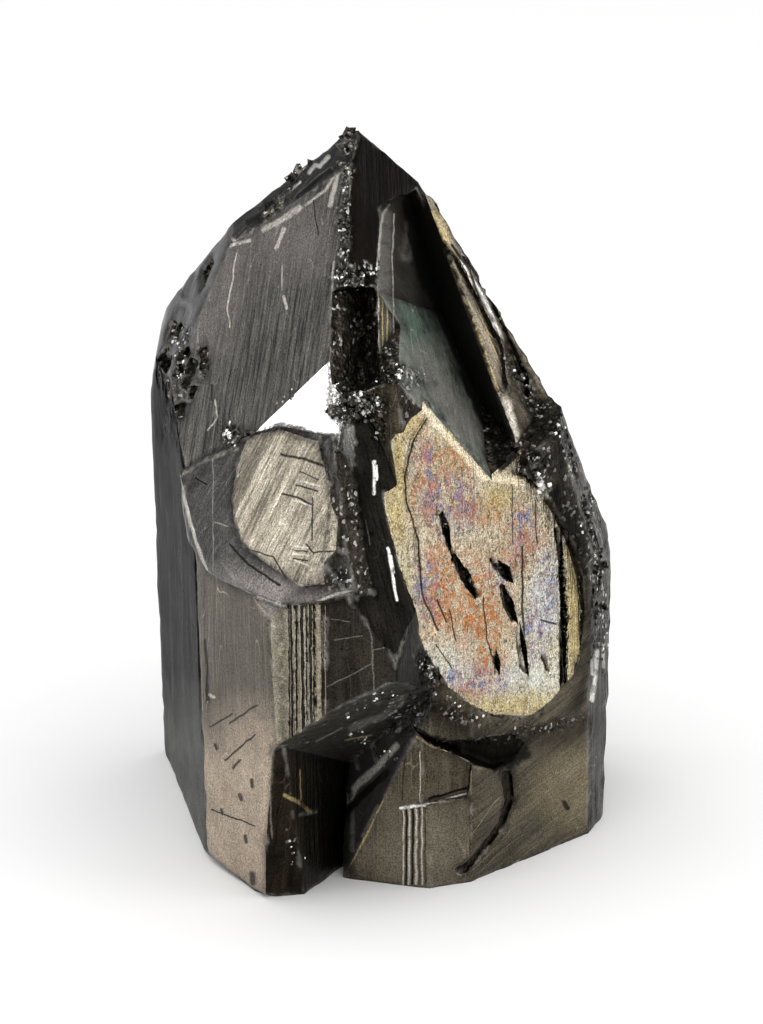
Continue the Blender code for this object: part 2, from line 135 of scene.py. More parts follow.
# Each face: its finish, its compass direction and lean in degrees, a corner of it
# in millimetres, and how far below and above its plane its surface may lie.
FLAT = (-0.04, 0.04)
WORN = (-0.4, 0.04)
FACES = [
    ("slope", -54.5, 29, RIDGE_FOOT, FLAT),
    ("shoulder", -79.5, 27.1, (-5.35, 0.51, 11.6), FLAT),
    ("shoulder", -92, 10, (-5.5, 2.0, 12.5), FLAT),
    ("bevel", -69.5, 39.4, BEVEL_CORNER, FLAT),
    ("ridge_back", 55, 26.5, RIDGE_FOOT, FLAT),
    ("bright", -45.7, 23.7, (-1.7, -3.22, 12.92), FLAT),
    ("left_side", -78.7, -1.5, (-4.35, -2.45, 0), WORN),
    ("left_front", -56, -1.5, (-3.5, -3.7, 0), WORN),
    ("front", -16, 0, (-2.4, -5.35, 6), WORN),
    ("front_right", 8, 0, (-1.4, -5.6, 6), WORN),
    ("column", 58, 0, (0.4, -5.35, 6), FLAT),
    ("column", 35.7, 16.5, (-0.73, -5.51, 8.61), FLAT),
    ("foot", -15, 0, (1.25, -4.05, 0), WORN),
    ("foot", 20, 0, (1.25, -4.05, 0), WORN),
    ("foot_side", 42, 0, (3.52, -2.56, 0), FLAT),
    ("band", 68, 0, (5.33, -0.87, 0), FLAT),
    ("band", 80, 14, (5.25, 0.3, 8.97), FLAT),
    ("scar", *SCAR_FACE, SCAR_MIDDLE, FLAT),
    ("moat", *SCAR_FACE, (2.77, -2.78, 8.38), FLAT),
    ("hollow_floor", 81, 31, (1.75, 1.35, 12.86), FLAT),
    ("hollow_wall", -64.3, -11, (1.48, 0.51, 15.75), FLAT),
    ("hollow_wall", 70.8, 15.7, (0.0, -0.39, 16.24), FLAT),
    ("moat", -14, 76, (0.45, -3.2, 13.75), FLAT),
    ("golden", 45, 28, (2.97, 0.5, 13.75), WORN),
    ("cavity_left", 58, 0, (-1.99, -4.54, 0), FLAT),
    ("cavity_left", 12, -8, (-2.86, -4.56, 0), FLAT),
    ("cavity_right", -50.5, 14.5, (-0.5, -3.58, 1.0), FLAT),
    ("cavity_roof", 30.3, -39.9, (-2.33, -5.37, 4.72), FLAT),
    ("rear", 98, -1.5, (5.75, 0.5, 3), WORN),
    ("rear", 150, 0, (5.0, 3.8, 3), WORN),
    ("rear", 180, 0, BACK_MIDDLE, (-0.6, 0.04)),
    ("rear", 118, 24, (3.0, 0.45, 13.7), WORN),
    ("rear", -150, 0, (-5.6, 3.9, 6), WORN),
    ("rear", 110.6, 30.3, (0.55, 1.44, 17.45), FLAT),
    ("rear", 115, 45, APEX, FLAT),
    ("rear", 178, 46, APEX, WORN),
    ("rear", -161.6, 34.3, BEVEL_CORNER, FLAT),
    ("rear", 172, 46, (1.24, 0.93, 16.64), FLAT),
    ("rear", 172, 50, (0.4, 1.5, 14.6), FLAT),
    ("rear", 0, -90, (0, 0, 0), FLAT),
]
SKINNED = ("slope", "bright", "left_side", "left_front", "front", "front_right", "column")
SKIN_HEIGHT = (0.12, 0.195)
PATCH_HEIGHT = (0.195, 0.28)


def normal(azimuth, tilt):
    """The outward direction of a face, from its compass direction and its lean."""
    turn, lean = math.radians(azimuth), math.radians(tilt)
    return Vector((math.sin(turn) * math.cos(lean), -math.cos(turn) * math.cos(lean), math.sin(lean)))


def work_on(piece):
    """Selects one piece alone."""
    bpy.ops.object.select_all(action="DESELECT")
    piece.select_set(True)
    bpy.context.view_layer.objects.active = piece


def counts(items, name, width, kind=np.int32):
    """One property of a mesh's vertices, edges or faces, as an array of whole numbers."""
    flat = np.zeros(len(items) * width, kind)
    items.foreach_get(name, flat)
    return flat.reshape(-1, width) if width > 1 else flat


def numbers(items, name, width):
    """The same for a property that is a decimal number or a place."""
    return counts(items, name, width, np.float32).astype(np.float64)


def facing_of_edges(mesh):
    """How squarely the best of an edge's faces looks to the camera."""
    facing = numbers(mesh.polygons, "normal", 3) @ np.array(TO_EYE)
    sides = counts(mesh.polygons, "loop_total", 1)
    best = np.full(len(mesh.edges), -1.0)
    np.maximum.at(best, counts(mesh.loops, "edge_index", 1), np.repeat(facing, sides))
    return best


def split_long_edges(piece):
    """Splits edges until each is short enough for the detail cut near it."""
    bpy.context.tool_settings.mesh_select_mode = (False, True, False)
    for _ in range(SPLIT_ROUNDS):
        mesh = piece.data
        spots = numbers(mesh.vertices, "co", 3) / MM
        ends = counts(mesh.edges, "vertices", 2)
        start, end = spots[ends[:, 0]], spots[ends[:, 1]]
        middle, length = (start + end) / 2, np.linalg.norm(end - start, axis=1)
        facing = facing_of_edges(mesh)
        longest = LONGEST_EDGE_FRONT / np.clip(facing, LEAST_FACING, 1.0)
        longest = np.where(facing > TURNED_AWAY, longest, LONGEST_EDGE_BACK)
        from_scar = middle - np.array(SCAR_MIDDLE)
        on_scar = np.linalg.norm(from_scar, axis=1) < SCAR_REACH
        on_scar &= np.abs(from_scar @ np.array(normal(*SCAR_FACE))) < SCAR_HOLLOW
        long = length > np.where(on_scar, LONGEST_EDGE_SCAR, longest)
        if not long.any():
            break
        mesh.vertices.foreach_set("select", np.zeros(len(mesh.vertices), bool))
        mesh.polygons.foreach_set("select", np.zeros(len(mesh.polygons), bool))
        mesh.edges.foreach_set("select", long)
        bpy.ops.object.mode_set(mode="EDIT")
        bpy.ops.mesh.subdivide(number_cuts=1)
        bpy.ops.mesh.select_all(action="SELECT")
        bpy.ops.mesh.quads_convert_to_tris(quad_method="SHORTEST_DIAGONAL", ngon_method="BEAUTY")
        bpy.ops.mesh.beautify_fill(angle_limit=FLAT_BEND)
        bpy.ops.object.mode_set(mode="OBJECT")


body = bpy.data.objects.new("crystal_body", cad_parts[CRYSTAL].data.copy())
body.data.materials.clear()
bpy.context.scene.collection.objects.link(body)
work_on(body)
bpy.ops.object.mode_set(mode="EDIT")
bpy.ops.mesh.select_all(action="SELECT")
bpy.ops.mesh.remove_doubles(threshold=SAME_POINT)
bpy.ops.mesh.dissolve_limited(angle_limit=SAME_FACE)
bpy.ops.mesh.select_all(action="SELECT")
bpy.ops.mesh.quads_convert_to_tris(quad_method="BEAUTY", ngon_method="BEAUTY")
bpy.ops.object.mode_set(mode="OBJECT")

# The sharp edges and inner corners of the crystal, before the mesh is split:
# outer edges are chipped and carry a painted highlight, partly rubbed metal, and
# inner corners carry painted shade.
CREASE = 12.0
CREASE_STEP = 0.06


def crease_trees(mesh):
    """Search trees of points along the outer edges and along the inner corners."""
    spots = numbers(mesh.vertices, "co", 3) / MM
    outward = numbers(mesh.polygons, "normal", 3)
    middles = numbers(mesh.polygons, "center", 3) / MM
    ends = counts(mesh.edges, "vertices", 2)
    sides = counts(mesh.polygons, "loop_total", 1)
    edge_of_loop = counts(mesh.loops, "edge_index", 1)
    face_of_loop = np.repeat(np.arange(len(sides)), sides)
    order = np.argsort(edge_of_loop, kind="stable")
    first, second = face_of_loop[order[0::2]], face_of_loop[order[1::2]]
    bend = np.degrees(np.arccos(np.clip((outward[first] * outward[second]).sum(1), -1, 1)))
    inner = ((middles[second] - middles[first]) * outward[first]).sum(1) > 0
    trees = []
    for chosen in (~inner, inner):
        found = []
        for edge in np.nonzero((bend > CREASE) & chosen)[0]:
            start, end = spots[ends[edge, 0]], spots[ends[edge, 1]]
            steps = max(1, int(np.linalg.norm(end - start) / CREASE_STEP))
            found += [start + (end - start) * step / steps for step in range(steps + 1)]
        tree = KDTree(len(found))
        for number, spot in enumerate(found):
            tree.insert(spot, number)
        tree.balance()
        trees.append(tree)
    return trees


outer_edges, inner_corners = crease_trees(body.data)
split_long_edges(body)

# Each flat face gets the finish of its kind, told from its direction and place.
# Whatever is left over is a freshly broken or grainy surface.
finish_names = ["broken"] + list(dict.fromkeys(face[0] for face in FACES)) + ["skin", "patch"]
SQUARE = math.cos(math.radians(2.5))
LEVEL = 0.008
SLIVER = 0.0002 * MM * MM
LOWEST_BRIGHT = 11.0
outward = numbers(body.data.polygons, "normal", 3)
middles = numbers(body.data.polygons, "center", 3) / MM
points = numbers(body.data.vertices, "co", 3) / MM
corners = counts(body.data.loops, "vertex_index", 1).reshape(-1, 3)
is_sliver = numbers(body.data.polygons, "area", 1) < SLIVER
finish_of = np.zeros(len(body.data.polygons), np.int32)
for finish_name, azimuth, tilt, corner, height in reversed(FACES):
    direction = np.array(normal(azimuth, tilt))
    square = outward @ direction
    above = (middles - np.array(corner)) @ direction
    level = np.ptp((points @ direction)[corners], axis=1) < LEVEL
    same = (square > SQUARE) | (level & is_sliver)
    finish_of[same & (above > height[0]) & (above < height[1])] = finish_names.index(finish_name)
    if finish_name in SKINNED:
        for layer, (least, most) in (("skin", SKIN_HEIGHT), ("patch", PATCH_HEIGHT)):
            finish_of[same & (above > least) & (above < most)] = finish_names.index(layer)
low_bright = (finish_of == finish_names.index("bright")) & (middles[:, 2] < LOWEST_BRIGHT)
finish_of[low_bright] = finish_names.index("skin")

# The surface relief: growth lines, pits, cracks and chips, a few hundredths of
# a millimetre deep. Each lies where the photograph shows it, in pixels of its
# 763 by 1024 frame, and is cut into the face found there.
PHOTO_PER_MM = 40.0
PHOTO_MIDDLE = (381.5, 512.0)
EYE = EYE_TARGET + TO_EYE * EYE_DISTANCE
VIEW_RIGHT = Vector((1.0, 0.0, 0.0))
EDGE_REACH = 0.16
CORNER_REACH = 0.22
WAVE_HEIGHT = 0.018
DENT_HEIGHT = 0.006
CHIP_DEPTH = 0.03
CHIP_DENTS = (0.06, 0.03)
DEEPEST_CHIP = 0.12
LUMP_HEIGHT = 0.12
LUMP_DENTS = (0.05, 0.03)
CRACK_DEPTH = 0.05
PIT_DEPTH = 0.09
SCAR_LINE_HEIGHT = 0.012
STANDING = 0.02


def seen_at(spots):
    """Where points in millimetres lie in the photograph."""
    away = spots - np.array(EYE_TARGET)
    size = PHOTO_PER_MM * EYE_DISTANCE / (EYE_DISTANCE - away @ np.array(TO_EYE))
    across = PHOTO_MIDDLE[0] + size * (away @ np.array(VIEW_RIGHT))
    down = PHOTO_MIDDLE[1] - size * (away @ np.array(VIEW_UP))
    return np.stack([across, down], 1)


def sight_line(pixel):
    """The direction in which the camera sees a pixel of the photograph."""
    right = (pixel[0] - PHOTO_MIDDLE[0]) / PHOTO_PER_MM
    rise = (PHOTO_MIDDLE[1] - pixel[1]) / PHOTO_PER_MM
    return (VIEW_RIGHT * right + VIEW_UP * rise - TO_EYE * EYE_DISTANCE).normalized()


def on_face(pixel, azimuth, tilt, corner):
    """The point of a flat face that shows at a pixel."""
    out, line = normal(azimuth, tilt), sight_line(pixel)
    return EYE + line * ((Vector(corner) - EYE).dot(out) / line.dot(out))


def near_path(seen, path, width, soft=0.5):
    """How much each point lies on a stroke: 1 on its line, 0 beyond its width."""
    nearest = np.full(len(seen), 1e9)
    for start, end in zip(path[:-1], path[1:]):
        start, run = np.array(start, float), np.array(end, float) - np.array(start, float)
        along = np.clip(((seen - start) @ run) / max(run @ run, 1e-9), 0, 1)
        nearest = np.minimum(nearest, np.linalg.norm(seen - start - along[:, None] * run, axis=1))
    half = width / 2
    return np.clip((half * (1 + soft) - nearest) / (half * 2 * soft), 0, 1)


def near_spot(seen, middle, half_wide, half_high, turn, soft):
    """A soft oval brush: 1 inside, 0 outside."""
    away = seen - np.array(middle, float)
    c, s = math.cos(math.radians(turn)), math.sin(math.radians(turn))
    across = (away[:, 0] * c + away[:, 1] * s) / half_wide
    down = (-away[:, 0] * s + away[:, 1] * c) / half_high
    return np.clip((1 + soft - np.hypot(across, down)) / (2 * soft), 0, 1)


def inside(seen, outline):
    """Which points lie inside an outline of pixels."""
    within = np.zeros(len(seen), bool)
    for (x0, y0), (x1, y1) in zip(outline, outline[1:] + outline[:1]):
        crossing = (seen[:, 1] < y0) != (seen[:, 1] < y1)
        with np.errstate(divide="ignore", invalid="ignore"):
            at = x0 + (seen[:, 1] - y0) * (x1 - x0) / (y1 - y0)
        within ^= crossing & (seen[:, 0] < at)
    return within.astype(float)


def roughness_field(spots, size, seed):
    """Smooth random heights between -1 and 1, at one size in millimetres."""
    shift = Vector((seed * 7.3, seed * -3.1, seed * 5.7))
    return np.array([noise.noise(Vector(spot) + shift) for spot in spots / size])


def chunk_field(spots, size, seed):
    """Rounded lumps with sharp gaps between them, from 0 in a gap to 1."""
    shift = Vector((seed * 1.7, seed * 2.3, seed * -3.9))
    found = [noise.voronoi(Vector(spot) / size + shift)[0] for spot in spots]
    return np.array([min(1.0, (d[1] - d[0]) * 1.6) for d in found])


SCAR_ARC = [
    (428, 417), (412, 443), (405, 477), (407, 503), (417, 530), (418, 567), (422, 593), (430, 617),
    (438, 630),
]
SCAR_PITS = [
    ([(442, 515), (447, 527), (448, 543), (455, 557)], 6.0), ([(455, 560), (465, 573), (477, 595)], 9.0),
    ([(492, 560), (500, 572), (510, 580)], 6.0), ([(503, 587), (505, 603), (513, 620)], 6.0),
    ([(517, 637), (522, 667), (527, 673)], 4.0), ([(495, 657), (497, 673)], 4.0),
    ([(543, 657), (548, 670)], 5.0), ([(557, 530), (563, 567), (565, 613), (563, 690)], 7.0),
]

# Rough, grainy places: the middle, half width, half height and turn of a soft oval,
# and how rough it is.
ROUGH_SPOTS = [
    ((347, 170), 7, 30, 6, 0.8), ((345, 235), 7, 45, 2, 1.0), ((353, 275), 24, 14, 0, 1.0),
    ((336, 320), 4, 40, 3, 0.8), ((357, 402), 30, 22, 0, 1.0), ((402, 377), 26, 12, 0, 0.8),
    ((182, 335), 9, 20, 12, 0.7), ((200, 352), 6, 9, 0, 0.8), ((180, 382), 14, 20, 10, 0.5),
    ((168, 425), 10, 24, 0, 0.4), ((232, 434), 11, 14, 0, 1.0), ((205, 280), 6, 14, 20, 0.4),
    ((250, 232), 30, 4, -38, 0.5), ((598, 560), 9, 120, -4, 0.7), ((530, 468), 26, 22, 0, 0.8),
    ((450, 712), 42, 8, 22, 0.7), ((545, 728), 50, 6, -12, 0.8), ((428, 668), 12, 20, -25, 0.8),
    ((404, 716), 22, 20, 0, 0.7), ((340, 580), 12, 12, 0, 0.9), ((378, 430), 8, 26, 0, 0.7),
    ((530, 395), 10, 60, -28, 0.8), ((572, 455), 10, 30, -20, 0.7),
]
ROUGH_FACES = {
    "moat": 0.45, "band": 0.3, "column": 0.1, "bevel": 0.08, "rear": 0.2, "cavity_roof": 0.3,
    "cavity_left": 0.15,
}
FOOT_TOP = 745

vertex_out = numbers(body.data.vertices, "normal", 3)
seen = seen_at(points)
towards = vertex_out @ np.array(TO_EYE) > 0.0
share = np.zeros((len(points), len(finish_names)))
for side in range(3):
    np.add.at(share, (corners[:, side], finish_of), 1.0)
share /= np.maximum(share.sum(1, keepdims=True), 1e-9)
outer = np.array([outer_edges.find(spot)[2] for spot in points])
inner = np.array([inner_corners.find(spot)[2] for spot in points])


def part_of(*names):
    """How much each point belongs to faces of these kinds."""
    return sum(share[:, finish_names.index(name)] for name in names)


wide = roughness_field(points, 1.7, 1)
middling = roughness_field(points, 0.45, 2)
fine = roughness_field(points, 0.16, 3)
lumps = chunk_field(points, 0.30, 4)
scar = part_of("scar")
rough = np.zeros(len(points))
for middle, half_wide, half_high, turn, amount in ROUGH_SPOTS:
    rough = np.maximum(rough, amount * near_spot(seen, middle, half_wide, half_high, turn, 0.35))
rough *= towards
rough = np.maximum(rough, 0.6 * part_of("broken") * towards * (seen[:, 1] < FOOT_TOP))
for kind, amount in ROUGH_FACES.items():
    rough = np.maximum(rough, amount * part_of(kind))
rough = np.clip(rough * (1 + 0.6 * middling) * (1 - scar), 0, 1)
edge = np.clip(1 - outer / EDGE_REACH, 0, 1)
gap = np.clip(1 - inner / CORNER_REACH, 0, 1)

relief = WAVE_HEIGHT * wide + DENT_HEIGHT * middling
chips = CHIP_DEPTH + CHIP_DENTS[0] * middling + CHIP_DENTS[1] * fine
relief -= edge * np.clip(chips, 0, DEEPEST_CHIP)
relief += rough * (LUMP_HEIGHT * (lumps - 0.75) + LUMP_DENTS[0] * middling + LUMP_DENTS[1] * fine)
relief -= CRACK_DEPTH * near_path(seen, SCAR_ARC, 4.0) * scar
# The mark value is painted shade; first it darkens the scar's pits.
mark = np.zeros(len(points))
for path, width in SCAR_PITS:
    cut = near_path(seen, path, width * 0.62 * (1 + 0.5 * fine), 0.4) * scar
    mark = np.maximum(mark, cut)
    relief -= PIT_DEPTH * cut
level = np.array(normal(SCAR_FACE[0] + 90, 0))
lines = roughness_field(np.stack([points @ level, points[:, 2] * 0.03, points[:, 2] * 0], 1), 0.12, 6)
relief += scar * (SCAR_LINE_HEIGHT * lines + SCAR_LINE_HEIGHT * middling)
moved = points + vertex_out * relief[:, None]
standing = points[:, 2] < STANDING
moved[standing, 2] = points[standing, 2]
moved = np.clip(moved, np.array(cad_low) / MM, np.array(cad_high) / MM)
body.data.vertices.foreach_set("co", (moved * MM).astype(np.float32).ravel())

# Where the surface is worn, grainy or tarnished, and where shade is painted, is
# kept on the mesh, as numbers from 0 to 1 that the finishes read. The dark places
# are painted shade in the hollow, the cavity, the cleft under the scar and the
# grooves and grainy band around the scar, which is partly its own dark colour:
# outlines and runs of pixels.
DARK_AREAS = [
    (0.92, [(417, 730), (450, 740), (490, 742), (525, 745), (533, 755), (515, 768), (500, 773), (475, 760),
            (450, 750)]),
    (0.7, [(503, 335), (520, 350), (545, 400), (563, 430), (545, 444), (522, 440), (508, 395)]),
    (0.95, [(403, 204), (425, 200), (446, 245), (478, 330), (497, 395), (510, 440), (520, 455), (500, 474),
            (488, 440), (468, 395), (443, 330), (423, 290), (408, 240)]),
    (0.6, [(342, 288), (376, 290), (378, 378), (346, 376)]),
    (0.9, [(320, 748), (344, 742), (352, 800), (344, 866), (320, 868), (322, 800)]),
]
DARK_RUNS = [
    ([(418, 690), (448, 722), (490, 742), (550, 738), (592, 722)], 26, 0.6),
    ([(556, 492), (578, 540), (590, 600), (590, 660), (576, 708)], 14, 0.7),
    ([(520, 330), (548, 400), (575, 440)], 26, 0.4), ([(282, 610), (284, 745)], 7, 0.35),
    ([(346, 868), (332, 790), (345, 745)], 16, 0.8),
]
COLUMN_SHADE = [(362, 480), (360, 600)]
mark = np.maximum(mark, 0.8 * near_path(seen, COLUMN_SHADE, 20, 0.7) * part_of("column"))
for path, width, darkness in DARK_RUNS:
    mark = np.maximum(mark, darkness * near_path(seen, path, width, 0.8) * towards * (1 - scar))
for darkness, outline in DARK_AREAS:
    mark = np.maximum(mark, darkness * inside(seen, outline) * towards)


def keep(name, values):
    """Keeps a value for each point of the crystal, for its finishes to read."""
    made = body.data.attributes.new(name, "FLOAT", "POINT")
    made.data.foreach_set("value", np.clip(values, 0, 1).astype(np.float32))


# The edge value drives chips and a painted highlight along outer edges; the gap value drives painted shade
# in inner corners.
keep("edge", edge * np.clip(0.6 + middling, 0, 1))
keep("gap", gap * (1 - scar))
keep("rough", rough)
keep("mark", mark)

# Tarnish and painted reflection. The oval scar carries thin films that show gold,
# orange, purple and blue, the lower left face turns paler and pinkish towards the
# bottom as a painted reflection of the pale table, and the hollow has a green tint.
# Each soft spot is its middle, its half width and half height in pixels and its turn.
FILM_SPOTS = {
    "gold": [
        ((396, 480), 12, 74, 0), ((404, 590), 10, 30, -10), ((574, 620), 9, 80, 0),
        ((412, 425), 14, 16, 0), ((440, 450), 16, 26, 20), ((500, 500), 26, 16, 0),
        ((520, 705), 46, 14, 0),
    ],
    "orange": [
        ((480, 610), 26, 50, 0), ((440, 590), 18, 46, 0), ((428, 480), 14, 44, 0),
        ((470, 510), 30, 14, 10), ((490, 655), 16, 24, 0), ((470, 690), 14, 8, 0),
        ((520, 540), 20, 26, 0), ((450, 470), 20, 20, 0),
    ],
    "blue": [
        ((428, 462), 16, 26, 0), ((452, 505), 26, 26, 0), ((523, 525), 14, 30, 0),
        ((545, 590), 14, 36, 0), ((426, 590), 12, 30, 0), ((500, 575), 12, 12, 0),
        ((470, 680), 40, 14, 0), ((535, 630), 14, 26, 0),
    ],
    "pale": [
        ((530, 680), 34, 26, 0), ((450, 660), 22, 22, 0), ((400, 585), 9, 36, -10),
        ((440, 430), 10, 14, 0), ((545, 600), 14, 44, 0),
    ],
}

# Grey slivers beside the ridge, painted highlights on narrow facets, and soft pale places on single faces.
GREY_GLINT_AREAS = [
    [(337, 436), (340, 424), (352, 422), (356, 440), (353, 472), (346, 494), (340, 476), (334, 455)],
    [(383, 206), (399, 200), (394, 240), (393, 300), (394, 355), (385, 368), (380, 350), (378, 290),
     (381, 240)],
]
PALE_AREAS = [
    ("slope", (205, 290), 40, 120, 25), ("slope", (290, 240), 40, 40, 0), ("skin", (270, 600), 90, 26, 8),
    ("broken", (500, 820), 60, 60, 0), ("left_side", (190, 800), 60, 90, 0),
    ("foot", (420, 860), 60, 54, 0), ("hollow_floor", (460, 420), 60, 40, 40),
    ("foot_side", (575, 790), 34, 40, 0),
]
films = {}
for film, spots in FILM_SPOTS.items():
    films[film] = np.zeros(len(points))
    for middle, half_wide, half_high, turn in spots:
        films[film] = np.maximum(films[film], near_spot(seen, middle, half_wide, half_high, turn, 0.6))
    films[film] *= scar
# A painted reflection of the pale table on the lower left face, paler towards the bottom.
pinkish_painted_reflection = np.clip((seen[:, 1] - 700 - 25 * wide) / 80, 0, 1) * part_of("left_front")
films["pale"] = np.maximum(films["pale"], pinkish_painted_reflection)
for outline in GREY_GLINT_AREAS:
    films["pale"] = np.maximum(films["pale"], inside(seen, outline) * part_of("column", "ridge_back"))
for kind, middle, half_wide, half_high, turn in PALE_AREAS:
    here = near_spot(seen, middle, half_wide, half_high, turn, 0.5) * part_of(kind)
    films["pale"] = np.maximum(films["pale"], here)
green = near_spot(seen, (412, 322), 11, 30, -20, 0.7) * part_of("hollow_floor")
films["blue"] = np.maximum(films["blue"], green)
for film, values in films.items():
    keep(film, values)

# The finishes: dark tarnished metal. Every face has growth lines that run its
# own way, fine scratches, chipped edges with a painted highlight and painted shade
# in the corners. These effects are shared groups, and each face's finish sets its
# colours and its directions. Those colours are partly painted light: a face is made
# paler or darker for the light that falls on it and that it mirrors.


def put(tree, kind, joins=None, **settings):
    """Adds a node. Each join is a socket to wire in, or a plain value to set."""
    made = tree.nodes.new(kind)
    for name, value in settings.items():
        setattr(made, name, value)
    for name, value in (joins or {}).items():
        if isinstance(value, bpy.types.NodeSocket):
            tree.links.new(value, made.inputs[name])
        else:
            made.inputs[name].default_value = value
    return made


def sums(tree, operation, first, second=0.0, third=0.0):
    """One step of arithmetic on single values."""
    joins = {0: first, 1: second}
    if operation == "MULTIPLY_ADD":
        joins[2] = third
    return put(tree, "ShaderNodeMath", joins, operation=operation).outputs[0]


def vectors(tree, operation, first, second, output=0):
    """One step of arithmetic on places and directions."""
    return put(tree, "ShaderNodeVectorMath", {0: first, 1: second}, operation=operation).outputs[output]


def blend(tree, amount, first, second, how="MIX"):
    """Lays a second colour over a first."""
    joins = {0: amount, 6: first, 7: second}
    return put(tree, "ShaderNodeMix", joins, data_type="RGBA", blend_type=how).outputs[2]


def times(tree, first, second):
    """The product of two single values."""
    return sums(tree, "MULTIPLY", first, second)


def dot(tree, first, second):
    """How far one place reaches along another's direction."""
    return vectors(tree, "DOT_PRODUCT", first, second, 1)


def clouds(tree, place, scale, detail, roughness=0.5, distortion=0.0, output=0):
    """Smooth random patches from 0 to 1, or as a colour."""
    joins = {"Vector": place, "Scale": scale, "Detail": detail, "Roughness": roughness,
             "Distortion": distortion}
    return put(tree, "ShaderNodeTexNoise", joins).outputs[output]


def steps(tree, value, low, high, low_out=0.0, high_out=1.0):
    """Spreads a value between two limits, and holds it at them."""
    joins = {"Value": value, "From Min": low, "From Max": high, "To Min": low_out, "To Max": high_out}
    return put(tree, "ShaderNodeMapRange", joins, clamp=True).outputs[0]


def shared(tree, kept, joins):
    """Uses one of the shared groups."""
    return put(tree, "ShaderNodeGroup", joins, node_tree=kept).outputs


def group(name, wanted, given):
    """An empty node group with its own sockets, and its two end nodes."""
    tree = bpy.data.node_groups.new(name, "ShaderNodeTree")
    for side, sockets in (("INPUT", wanted), ("OUTPUT", given)):
        for socket, kind in sockets.items():
            tree.interface.new_socket(socket, in_out=side, socket_type="NodeSocket" + kind)
    return tree, tree.nodes.new("NodeGroupInput").outputs, tree.nodes.new("NodeGroupOutput").inputs


def attribute(tree, name):
    """A value kept on the mesh."""
    return put(tree, "ShaderNodeAttribute", attribute_name=name).outputs["Fac"]


def tone(red, green, blue):
    """A colour as it looks on a screen, 0 to 255, as the light value a node needs."""
    parts = [channel / 255 for channel in (red, green, blue)]
    return tuple(c / 12.92 if c <= 0.04045 else ((c + 0.055) / 1.055) ** 2.4 for c in parts) + (1.0,)


# How far a drawn mark may stray from its straight line, in pixels.
WANDER = 3.5


def make_drawing_place():
    """Where a point of the crystal lies in the photograph's pixels, from its own place."""
    tree, start, end = group("drawing place", {}, {"Vector": "Vector"})
    place = put(tree, "ShaderNodeTexCoord").outputs["Object"]
    away = vectors(tree, "SUBTRACT", place, EYE_TARGET * MM)
    near = dot(tree, away, TO_EYE)
    reach = EYE_DISTANCE * MM
    size = sums(tree, "DIVIDE", PHOTO_PER_MM / MM * reach, sums(tree, "SUBTRACT", reach, near))
    right = times(tree, dot(tree, away, VIEW_RIGHT), size)
    rise = times(tree, dot(tree, away, VIEW_UP), size)
    joined = put(tree, "ShaderNodeCombineXYZ", {
        "X": sums(tree, "ADD", right, PHOTO_MIDDLE[0]), "Y": sums(tree, "SUBTRACT", PHOTO_MIDDLE[1], rise)})
    wander = vectors(tree, "SUBTRACT", clouds(tree, place, 2.2 / MM, 2.0, output=1), (0.5, 0.5, 0.5))
    wander = vectors(tree, "MULTIPLY", wander, (WANDER, WANDER, 0.0))
    tree.links.new(vectors(tree, "ADD", joined.outputs[0], wander), end["Vector"])
    return tree


def make_stroke():
    """A thin mark from a start to an end: 1 on its line, 0 beyond its width."""
    tree, start, end = group("stroke", {"Vector": "Vector", "Start": "Vector", "End": "Vector",
                                        "Width": "Float"}, {"Value": "Float"})
    away = vectors(tree, "SUBTRACT", start["Vector"], start["Start"])
    run = vectors(tree, "SUBTRACT", start["End"], start["Start"])
    along = steps(tree, sums(tree, "DIVIDE", dot(tree, away, run), dot(tree, run, run)), 0.0, 1.0)
    nearest = put(tree, "ShaderNodeVectorMath", {0: run, 3: along}, operation="SCALE").outputs[0]
    share_left = sums(tree, "DIVIDE", vectors(tree, "DISTANCE", away, nearest, 1), start["Width"])
    tree.links.new(steps(tree, share_left, 0.25, 0.65, 1.0, 0.0), end["Value"])
    return tree


def make_growth_lines():
    """Fine and coarse lines along one direction: the growth striation of a face."""
    tree, start, end = group("growth lines", {"Vector": "Vector", "Spacing": "Float", "Seed": "Float"},
                             {"Value": "Float"})
    near = vectors(tree, "MULTIPLY", start["Vector"], (1.0, 0.045, 0.3))
    shifted = put(tree, "ShaderNodeCombineXYZ", {"X": start["Seed"], "Z": start["Seed"]}).outputs[0]
    near = vectors(tree, "ADD", near, shifted)
    fine_scale = sums(tree, "DIVIDE", 1.0, start["Spacing"])
    fine_lines = clouds(tree, near, fine_scale, 3.0, 0.65)
    coarse = clouds(tree, near, times(tree, fine_scale, 0.28), 2.0, 0.5, 0.3)
    both = sums(tree, "MULTIPLY_ADD", coarse, 0.5, times(tree, fine_lines, 0.5))
    tree.links.new(steps(tree, both, 0.36, 0.64), end["Value"])
    return tree


def make_scratches():
    """Sparse thin scratches, in two crossing directions."""
    tree, start, end = group("scratches", {"Vector": "Vector"}, {"Value": "Float"})
    found = 0.0
    for turn, seed in ((0.35, 3.0), (-0.8, 11.0)):
        turned = put(tree, "ShaderNodeMapping", {
            "Vector": start["Vector"], "Rotation": (0.0, 0.0, turn), "Scale": (1.0, 0.15, 0.3),
            "Location": (seed, 0, 0)}).outputs[0]
        line = sums(tree, "ABSOLUTE", sums(tree, "SUBTRACT", clouds(tree, turned, 2.6, 0.0), 0.5))
        line = steps(tree, line, 0.0, 0.008, 1.0, 0.0)
        line = times(tree, line, steps(tree, clouds(tree, turned, 1.1, 1.0), 0.5, 0.6))
        found = sums(tree, "MAXIMUM", line, found)
    tree.links.new(found, end["Value"])
    return tree


